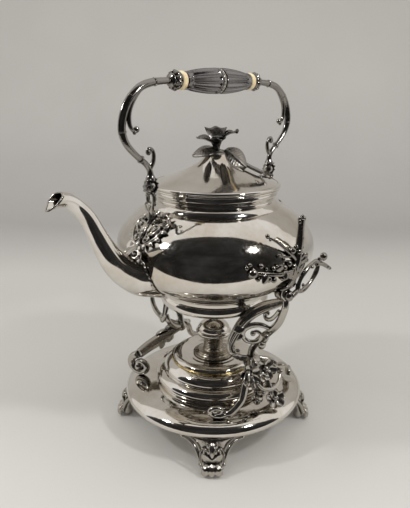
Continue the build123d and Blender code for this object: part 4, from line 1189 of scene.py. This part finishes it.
def plain_leg(piece, side):
    """A leg that drops to a flat scroll on the plate; side is -1 for the front one."""
    centre = Vector((69, side * 62, 66.0))
    along = Vector((0.668, -side * 0.744, 0))
    piece.strand([(*KNOT, 4.2), (67, side * 10, 101.5, 4.4), (75, side * 21, 97, 4.4),
                  (79, side * 30, 86, 4.2), (80.5, side * 36, 74, 4.1),
                  (*(centre + along * 15.5 + Vector((0, 0, -1.6))), 4.0),
                  (*(centre + along * 9.8 + Vector((0, 0, -3.6))), 3.7)], sides=24, steps=6, ribs=6,
                 groove=0.07)
    foot_scroll(piece, centre, along, False)
    piece.bead((80.5, side * 35, 75), 2.8)
    leg_leaf(piece, (77, side * 27, 91), (87, side * 34, 90), side, 9)


def broad_leg(piece):
    """The left bracket's front leg: a broad arm that ends in a large scroll."""
    centre = Vector((61, -66, 70.5))
    along = Vector((-1, 0.30, 0)).normalized()
    piece.strand([(*KNOT, 4.4), (62, -11, 100.5, 5.4), (65, -23, 95.5, 6.4), (67, -36, 90.5, 7.0),
                  (67, -50, 87.5, 6.6), (*(centre + along * -3.1 + Vector((0, 0, 14.2))), 5.7)], sides=24,
                 steps=6, ribs=6, groove=0.07)
    foot_scroll(piece, centre, along, True, 18.0, 0.80, 5.4)
    leg_leaf(piece, (60, -4, 108), (64, -24, 103), -1, 15)
    leg_leaf(piece, (64, -18, 102), (69, -35, 95.5), -1, 14)


def lower_arm(piece):
    """The left bracket's lower arm, which bends out beside the stem and carries a bud."""
    piece.strand([(90, -24, 152, 2.6), (83, -28, 137, 3.0), (77, -25, 123, 3.2), (70, -15, 112.5, 3.3),
                  (62, -3, 106, 3.4)], sides=14, steps=6, ribs=4, groove=0.09)
    piece.bead((75.5, -19, 112.5), 3.8, (1, 1, 1.15))
    piece.bead((78, -20.5, 116), 2.6)


def bracket(leafy):
    """A bracket drawn on +X; the leafy one, which is the left, has a broad front leg and a lower arm."""
    piece = Casting()
    bracket_stems(piece)
    bracket_leafwork(piece)
    if leafy:
        broad_leg(piece)
    else:
        plain_leg(piece, -1)
    plain_leg(piece, 1)
    if leafy:
        lower_arm(piece)
    return piece


def sparse_flowers():
    """The left bracket's flowers, buds and stalks, drawn on +X."""
    spray = Casting()
    stalks = ([(63, 0, 100, 3.0), (72, 0, 97, 3.0), (79, 3, 91, 2.9), (84, 4, 82, 2.8), (88, 5, 73, 2.7)],
              [(70, 0, 98, 2.8), (74, -7, 94, 2.8), (76, -13, 86, 2.6), (77, -15, 78, 2.6)],
              [(79, 3, 91, 2.4), (82, 12, 88, 2.4), (84.5, 24, 86, 2.4)])
    for stalk in stalks:
        spray.strand(stalk, sides=12, ribs=3, groove=0.10)
    for centre, axis, radius, turn in (((90, 5, 70), (0.8, 0.1, 0.5), 9.0, 0.2),
                                       ((80, 6, 95), (0.8, 0, 0.6), 8.0, 0.7),
                                       ((77.5, -16, 75), (0.8, -0.4, 0.2), 7.0, 0.5)):
        spray.blossom(centre, axis, radius, 5, cup=0.60, turn=turn, ruffle=0.03, thickness=1.7, heart=0.26)
    for centre, radius in (((84.5, 26, 86), 3.4), ((76, -9, 88), 3.0), ((82, 0, 84), 2.8)):
        spray.bead(centre, radius, (1, 1, 1.1))
    return spray


def full_flowers():
    """The right bracket's flowers, half-open flowers, leaves and stalks."""
    spray = Casting()
    stalks = ([(63, 0, 100, 3.0), (72, -2, 98, 3.0), (79, 2, 94, 3.0), (86, 1, 84, 2.9), (91, 1, 73, 2.8),
               (94, 3, 64, 2.8)],
              [(70, -2, 98, 2.8), (74, -10, 97, 2.8), (76, -18, 94, 2.8)],
              [(76, -18, 94, 2.6), (78, -14, 86, 2.6), (80, -12, 76, 2.6), (82, -13, 67, 2.6)],
              [(86, 1, 84, 2.4), (88, 5, 77, 2.4), (85, 10, 72, 2.4)],
              [(84.5, -15, 87, 2.2), (88.5, -9, 79, 2.6), (91, 5, 75.5, 2.8), (88.5, 18, 77.5, 2.6),
               (84.5, 26, 85, 2.2)])
    for stalk in stalks:
        spray.strand(stalk, sides=12, ribs=3, groove=0.10)
    for centre, axis, radius, turn in (((77, -18, 96), (0.75, -0.62, 0.30), 12.5, 0.3),
                                       ((81, 3, 97), (0.80, -0.45, 0.45), 12.5, 0.9),
                                       ((96, 3, 65.5), (0.70, -0.35, 0.62), 11.5, 0.2)):
        spray.blossom(centre, axis, radius, 5, cup=0.42, turn=turn, ruffle=0.02, thickness=1.9, heart=0.26)
    for centre, axis, radius, turn in (((80.5, -11, 82), (0.8, -0.5, 0.3), 7.0, 0.0),
                                       ((86, 10, 72), (0.8, 0.1, 0.5), 6.0, 0.5),
                                       ((83.5, -14, 67.5), (0.7, -0.6, 0.4), 6.5, 0.8)):
        spray.blossom(centre, axis, radius, 4, cup=0.60, turn=turn, ruffle=0.03, thickness=1.7, heart=0.3)
    for base, tip, width in (((76, -6, 97), (72, -8, 107), 11), ((83, -2, 90), (91, -10, 91), 11),
                             ((82, -12, 72), (92, -20, 69), 12)):
        spray.leaf(base, tip, (0.5, -0.3, 0.8), width, 1.5, arch=2.0, curl=1.2, cup=0.6, teeth=3, bite=0.12,
                   rows=12, columns=9)
    for centre, radius in (((84.5, 26, 86), 3.4), ((84, -15.5, 88.5), 2.6), ((91, -12, 76), 2.4)):
        spray.bead(centre, radius, (1, 1, 1.1))
    return spray


class KETTLE_OT_brackets(bpy.types.Operator):
    """Draw the scrolled brackets and the flowers between their legs"""

    bl_idname = "kettle.brackets"
    bl_label = "Brackets and flowers"

    def execute(self, context):
        for name, flip, flowers in (("right", False, full_flowers), ("left", True, sparse_flowers)):
            for piece, label, node in ((bracket(flip), "scroll_bracket", "bracket"),
                                       (flowers(), "flowers", "flower_spray")):
                if flip:
                    piece.mirror(0)
                make_piece(f"{label}_{name}", piece, "stand", "cast", (f"{node}_{name}",))
        return {"FINISHED"}


# ---------------------------------------------------------------- feet

# Height and radius of the foot's face, which leans in towards the plate as it rises.
FOOT_FACE = ((0, 114.5), (4, 115.8), (9, 114.2), (14, 112), (22, 109.5), (30, 106.7), (37, 104.5),
             (44, 103.2))
FEET = (("right_rear", 45), ("left_rear", 135), ("left_front", 225), ("right_front", 315))
# The soles stop this far above the table, so that no ornament goes through it.
SOLE_Z = 0.02


def on_foot(across, height, out):
    """A point out from the face of the foot that is drawn on +X."""
    for (z0, r0), (z1, r1) in zip(FOOT_FACE, FOOT_FACE[1:]):
        if height <= z1:
            break
    face = r0 + (r1 - r0) * min(1.2, max(-0.2, (height - z0) / (z1 - z0)))
    return Vector((face + out - 0.008 * across * across, across, height))


def foot_web(piece):
    """The foot's solid web and the polished boss on it, notched at its top by the palmette."""
    # The web behind the ornament: it narrows above the toe and spreads under the rim.
    outline = [(0.3, 7.5), (4, 10.5), (9, 12.5), (14, 12.2), (20, 13.0), (26, 14.8), (32, 18.5), (36.5, 24),
               (39.5, 30)]
    rings = []
    for height, half in outline:
        ring = []
        for k in range(32):
            turn = math.tau * k / 32
            # The toe is thicker than the rest.
            depth = 6.5 if height < 10 else 3.6
            ring.append(on_foot(half * math.cos(turn), height, depth * math.sin(turn) - depth * 0.9))
        rings.append(ring)
    piece.skin(rings)
    # The polished boss, notched at its top by the palmette.
    grid = []
    for i in range(15):
        u = i / 14
        height = 13.6 + 12.8 * u
        half = 11.6 * (1 - 0.05 * (2 * u - 1) ** 2)
        line = []
        for j in range(17):
            v = j / 8 - 1
            notch = 5.6 * u ** 1.5 * max(0, 1 - abs(v) * 1.35)
            swell = (1 - v ** 4) * math.sin(math.pi * min(0.94, 0.10 + 0.84 * u)) ** 0.6
            line.append(on_foot(half * v, height - notch, 0.2 + 5.4 * u + 2.0 * swell))
        grid.append(line)
    piece.sheet([row[::-1] for row in grid], 1.6)


def foot_strand(piece, side, line):
    """A strand over one side of the foot's face, through (across, height, out, radius) points."""
    points = [(*on_foot(side * across, height, out), radius) for across, height, out, radius in line]
    piece.strand(points, sides=12, steps=5)


def foot():
    """One cast foot, drawn on +X: a polished shield in a scrolled frame on a leafy toe."""
    piece = Casting()
    foot_web(piece)
    for side in (-1, 1):
        # The outer wing: it sweeps from its curl under the rim down to the toe.
        wing = [(32.5, 35.2, -1.0, 1.4), (27, 35.0, -0.2, 1.7), (21.5, 32.6, 0.8, 1.9),
                (17.4, 28.0, 1.6, 2.0), (15.0, 22.2, 2.0, 1.9), (13.6, 16.5, 2.0, 1.7),
                (12.8, 12.0, 1.6, 1.4)]
        foot_strand(piece, side, wing)
        piece.volute(on_foot(side * 32.2, 37.0, -1.0), (0, side, 0), (0, 0, 1), 250, 0.75, 2.6, 1.4, 1.6,
                     1.0, 1.2)
        inner = [(5.8, 29.4, 2.2, 1.2), (9.8, 29.2, 2.0, 1.5), (12.8, 25.6, 1.8, 1.5), (13.6, 20.4, 1.8, 1.5),
                 (13.0, 15.4, 2.0, 1.4), (13.2, 12.4, 2.2, 1.3)]
        foot_strand(piece, side, inner)
        piece.bead(on_foot(side * 13.0, 13.4, 2.4), 2.1)
        piece.bead(on_foot(side * 6.4, 28.6, 2.8), 2.0)
        # The side lobe of the toe rolls outward at the table.
        piece.leaf(on_foot(side * 2.5, 13.4, 1.8), on_foot(side * 9.6, 3.0, 3.0), (1, side * 0.45, 0.1),
                   10.5, 2.0, arch=3.2, curl=-0.8, cup=1.6, teeth=2, bite=0.10, vein=0.9, rows=12,
                   columns=11)
        piece.bead(on_foot(side * 10.0, 10.4, 2.2), 2.4, (0.9, 1.2, 0.8))
        # Petals of the palmette on each side.
        piece.leaf(on_foot(side * 0.6, 29.5, 2.6), on_foot(side * 5.4, 36.2, 1.2), (1, side * 0.3, 0.2),
                   6.0, 1.4, arch=1.8, curl=0.8, teeth=2, bite=0.08, rows=10, columns=9)
        piece.leaf(on_foot(side * 0.8, 31.0, 3.0), on_foot(side * 4.6, 25.0, 2.8), (1, side * 0.3, 0.1),
                   5.0, 1.4, arch=1.8, curl=0.6, teeth=2, bite=0.08, rows=10, columns=9)
    piece.leaf(on_foot(0, 36.5, 1.6), on_foot(0, 21.6, 4.2), (1, 0, 0.15), 7.5, 1.8, arch=2.6, curl=0.6,
               teeth=3, bite=0.10, vein=0.8, rows=14, columns=11)
    piece.leaf(on_foot(0, 14.6, 2.2), on_foot(0, 1.4, 3.4), (1, 0, 0.1), 7.6, 2.0, arch=3.4, curl=-0.4,
               cup=1.2, teeth=2, bite=0.08, vein=0.9, rows=12, columns=11)
    piece.bead(on_foot(0, 13.6, 3.2), 2.2)
    return piece


class KETTLE_OT_feet(bpy.types.Operator):
    """Draw the four cast feet with their polished shields"""

    bl_idname = "kettle.feet"
    bl_label = "Feet"

    def execute(self, context):
        for name, azimuth in FEET:
            piece = foot()
            bmesh.ops.rotate(piece.mesh, verts=piece.mesh.verts, cent=(0, 0, 0),
                             matrix=Matrix.Rotation(math.radians(azimuth), 3, "Z"))
            for vert in piece.mesh.verts:
                vert.co.z = max(vert.co.z, SOLE_Z)
            make_piece(f"shield_foot_{name}", piece, "stand", "cast", (f"foot_{name}",))
        return {"FINISHED"}


# ---------------------------------------------------------------- lamp

# The ribbed part of the burner: where it starts, how high it is, and the height of one rib.
RIBS_Z = 95.8
RIBS_HIGH = 15.2
RIB_PITCH = 2.4


def ribbed_burner():
    """The burner's flange, ribbed barrel and cap, and the tube that holds the wick."""
    profile = [(6.2, 88.6), (24, 88.6), (24.6, 89.2), (24.7, 89.9), (23.8, 90.5), (19, 90.9), (19.2, 91.7),
               (18.9, 92.8), (18, 93.3), (13.4, 94), (12.0, 95.2)]
    steps = 60
    for step in range(steps):
        height = RIBS_Z + RIBS_HIGH * step / (steps - 1)
        profile.append((11.3 + 0.6 * math.cos(math.tau * (height - RIBS_Z) / RIB_PITCH), height))
    profile += [(13.0, 111.7), (15.6, 112), (16, 112.4), (15.8, 112.95), (9.0, 113.0), (9.0, 121.0),
                (6.1, 121.0), (6.1, 113.0), (6.2, 88.6)]
    burner = Casting()
    burner.turned(profile, sides=72)
    return burner


def braided_wick():
    """The wick, from the reservoir up to its domed end."""
    wick = Casting()
    wick.turned([(0.1, 66), (5.9, 66), (5.95, 100), (5.9, 122.6), (5.2, 123.6), (3, 124), (0.1, 123.7)],
                sides=36)
    return wick


class KETTLE_OT_lamp(bpy.types.Operator):
    """Draw the spirit lamp's ribbed burner and its braided wick"""

    bl_idname = "kettle.lamp"
    bl_label = "Spirit lamp"

    def execute(self, context):
        make_piece("ribbed_burner", ribbed_burner(), "stand", "burner", BURNER_NODES, 0)
        make_piece("braided_wick", braided_wick(), "stand", "wick", ("wick",), 0)
        return {"FINISHED"}


class KETTLE_OT_plated_bodies(bpy.types.Operator):
    """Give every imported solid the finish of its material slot"""

    bl_idname = "kettle.plated_bodies"
    bl_label = "Spun pieces and fittings"

    def execute(self, context):
        for part in frame["record"]["subparts"]:
            finish_node(part["node"], SLOT_FINISH[part["material_slot"]])
        return {"FINISHED"}


# ---------------------------------------------------------------- stage

# The stage is drawn along Y, in metres, and turned about Z by this many degrees.
STAGE_TURN = 45
# The camera's place, and how many degrees it looks down, turns to its right and rolls.
CAMERA_PLACE = (0.4144, -0.4144, 0.400)
CAMERA_TURNS = (17.523, -1.108, 0.415)
# The floor runs back from its front edge, sweeps up through a quarter circle and ends as a wall.
FLOOR_FRONT = -0.36
FLOOR_BACK = 0.9
SWEEP_RADIUS = 0.7
WALL_TOP = 2.6
FLOOR_HALF_WIDTH = 3.0
LAMP_SIZE = 0.10
LAMP_TARGET = (0, 0, 0.2)
FELT_SIZE = (14.0, 7.0)
FELT_PLACE = (0.64, -0.64, 1.0)


def card(name, size, place, turn, material):
    """A flat upright card of the stage."""
    mesh = bpy.data.meshes.new(name)
    wide, high = size[0] / 2, size[1] / 2
    mesh.from_pydata([(-wide, 0, -high), (wide, 0, -high), (wide, 0, high), (-wide, 0, high)], [],
                     [(0, 1, 2, 3)])
    piece = bpy.data.objects.new(name, mesh)
    piece.location = place
    piece.rotation_euler = turn
    bpy.context.scene.collection.objects.link(piece)
    mesh.materials.append(material)
    return piece


def lamp(name, power, place):
    """A soft square lamp that looks at the middle of the kettle and its stand."""
    light = bpy.data.lights.new(name, "AREA")
    light.energy = power
    light.size = LAMP_SIZE
    piece = bpy.data.objects.new(name, light)
    piece.location = place
    piece.rotation_euler = (Vector(place) - Vector(LAMP_TARGET)).to_track_quat("Z", "Y").to_euler()
    bpy.context.scene.collection.objects.link(piece)


def floor_sweep(material):
    """The floor and the wall behind the object, in one sweep."""
    profile = [(FLOOR_FRONT, 0.0), (FLOOR_BACK, 0.0)]
    steps = 12
    for step in range(1, steps + 1):
        angle = math.radians(90 * step / steps)
        profile.append((FLOOR_BACK + SWEEP_RADIUS * math.sin(angle), SWEEP_RADIUS * (1 - math.cos(angle))))
    profile.append((FLOOR_BACK + SWEEP_RADIUS, WALL_TOP))
    points, faces = [], []
    for depth, height in profile:
        points += [(-FLOOR_HALF_WIDTH, depth, height), (FLOOR_HALF_WIDTH, depth, height)]
    for i in range(len(profile) - 1):
        faces.append((2 * i, 2 * i + 1, 2 * i + 3, 2 * i + 2))
    sweep = bpy.data.meshes.new("floor_sweep")
    sweep.from_pydata(points, [], faces)
    sweep.polygons.foreach_set("use_smooth", [True] * len(faces))
    floor = bpy.data.objects.new("floor_sweep", sweep)
    floor.rotation_euler = (0, 0, math.radians(STAGE_TURN))
    bpy.context.scene.collection.objects.link(floor)
    sweep.materials.append(material)


def aim_camera(lens):
    """The camera, turned by its three angles in the stage's own frame."""
    camera = bpy.data.cameras.new("camera")
    camera.sensor_width = 36.0
    camera.lens = lens
    view = bpy.data.objects.new("camera", camera)
    bpy.context.scene.collection.objects.link(view)
    pitch, yaw, roll = (math.radians(angle) for angle in CAMERA_TURNS)
    ahead = Vector((math.sin(yaw) * math.cos(pitch), math.cos(yaw) * math.cos(pitch), -math.sin(pitch)))
    level = ahead.cross(Vector((0, 0, 1))).normalized()
    upright = level.cross(ahead)
    right = level * math.cos(roll) + upright * math.sin(roll)
    up = upright * math.cos(roll) - level * math.sin(roll)
    axes = Matrix((right, up, -ahead)).transposed()
    stage_turn = Matrix.Rotation(math.radians(STAGE_TURN), 3, "Z")
    view.matrix_world = Matrix.Translation(CAMERA_PLACE) @ (stage_turn @ axes).to_4x4()
    return view


class KETTLE_OT_stage(bpy.types.Operator):
    """Set up the pale floor and backdrop, the dark felt, the lamps and the camera"""

    bl_idname = "kettle.stage"
    bl_label = "Stage, lamps and camera"

    def execute(self, context):
        scene = context.scene
        look = scene.kettle_stage
        floor_sweep(backdrop_paper_painted_light())

        world = bpy.data.worlds.new("studio_air")
        world.use_nodes = True
        air = world.node_tree.nodes["Background"]
        air.inputs["Color"].default_value = srgb(look.air)
        air.inputs["Strength"].default_value = look.air_strength
        scene.world = world

        lamp("left_lamp", look.key, (-0.35, -0.75, 0.95))
        lamp("right_lamp", look.key, (0.75, 0.10, 0.95))
        # The dark side of the room shows in the polished metal as a band, and nowhere else.
        flag = card("front_flag", FELT_SIZE, FELT_PLACE, (0, 0, math.radians(STAGE_TURN)), black_felt())
        flag.visible_camera = False
        flag.visible_shadow = False
        flag.visible_diffuse = False

        scene.camera = aim_camera(look.lens)
        scene.view_settings.view_transform = "Standard"
        return {"FINISHED"}


# ---------------------------------------------------------------- settings and panel

class KettleFinish(bpy.types.PropertyGroup):
    """Colours of the metal."""

    silver: bpy.props.StringProperty(
        name="Silver", description="Hex colour of the polished plate", default="#E3E0DB")
    tarnish: bpy.props.StringProperty(
        name="Tarnish", description="Hex colour where the plate has yellowed", default="#CBC2B4")
    cast_silver: bpy.props.StringProperty(
        name="Cast silver", description="Hex colour of the castings' high places", default="#B8B3AB")
    oxide: bpy.props.StringProperty(
        name="Oxide", description="Hex colour of the castings' hollows", default="#1E1B19")


class KettleForm(bpy.types.PropertyGroup):
    """Sizes that can change without touching the solids."""

    flutes: bpy.props.IntProperty(
        name="Flutes", description="Number of flutes round the grip", default=14, min=8, max=24)


class KettleStage(bpy.types.PropertyGroup):
    """Light and camera."""

    air: bpy.props.StringProperty(
        name="Air", description="Hex colour of the surrounding light", default="#EAE7E3")
    air_strength: bpy.props.FloatProperty(
        name="Air strength", description="Level of the surrounding light", default=1.0, min=0.0, max=2.0)
    key: bpy.props.FloatProperty(
        name="Key lamp", description="Power of each of the two lamps", default=3.0, min=0.0, unit="POWER")
    lens: bpy.props.FloatProperty(
        name="Lens", description="Focal length of the camera in millimetres", default=37.39, min=10.0,
        unit="CAMERA")


class KETTLE_PT_panel(bpy.types.Panel):
    """Lists the kettle's pieces and settings in the sidebar"""

    bl_idname = "KETTLE_PT_panel"
    bl_label = "Spirit kettle"
    bl_space_type = "VIEW_3D"
    bl_region_type = "UI"
    bl_category = "Kettle"

    def draw(self, context):
        scene = context.scene
        for settings in (scene.kettle_finish, scene.kettle_form, scene.kettle_stage):
            box = self.layout.box()
            for key in settings.__annotations__:
                box.prop(settings, key)
        for operator in OPERATORS:
            self.layout.operator(operator.bl_idname)


# In the order in which they run: the others need the finishes.
OPERATORS = (
    KETTLE_OT_finishes, KETTLE_OT_stage, KETTLE_OT_plated_bodies, KETTLE_OT_lamp, KETTLE_OT_feet,
    KETTLE_OT_brackets, KETTLE_OT_pivots, KETTLE_OT_spout, KETTLE_OT_handle_mounts, KETTLE_OT_handle,
    KETTLE_OT_finial,
)
SETTINGS = {"kettle_finish": KettleFinish, "kettle_form": KettleForm, "kettle_stage": KettleStage}


def register():
    for group in SETTINGS.values():
        bpy.utils.register_class(group)
    for key, group in SETTINGS.items():
        setattr(bpy.types.Scene, key, bpy.props.PointerProperty(type=group))
    for item in (*OPERATORS, KETTLE_PT_panel):
        bpy.utils.register_class(item)


def unregister():
    for item in reversed((*OPERATORS, KETTLE_PT_panel)):
        bpy.utils.unregister_class(item)
    for key, group in SETTINGS.items():
        delattr(bpy.types.Scene, key)
        bpy.utils.unregister_class(group)


def main():
    """Makes the whole kettle."""
    register()
    for operator in OPERATORS:
        group, name = operator.bl_idname.split(".")
        getattr(getattr(bpy.ops, group), name)()


if __name__ == "__main__":
    main()
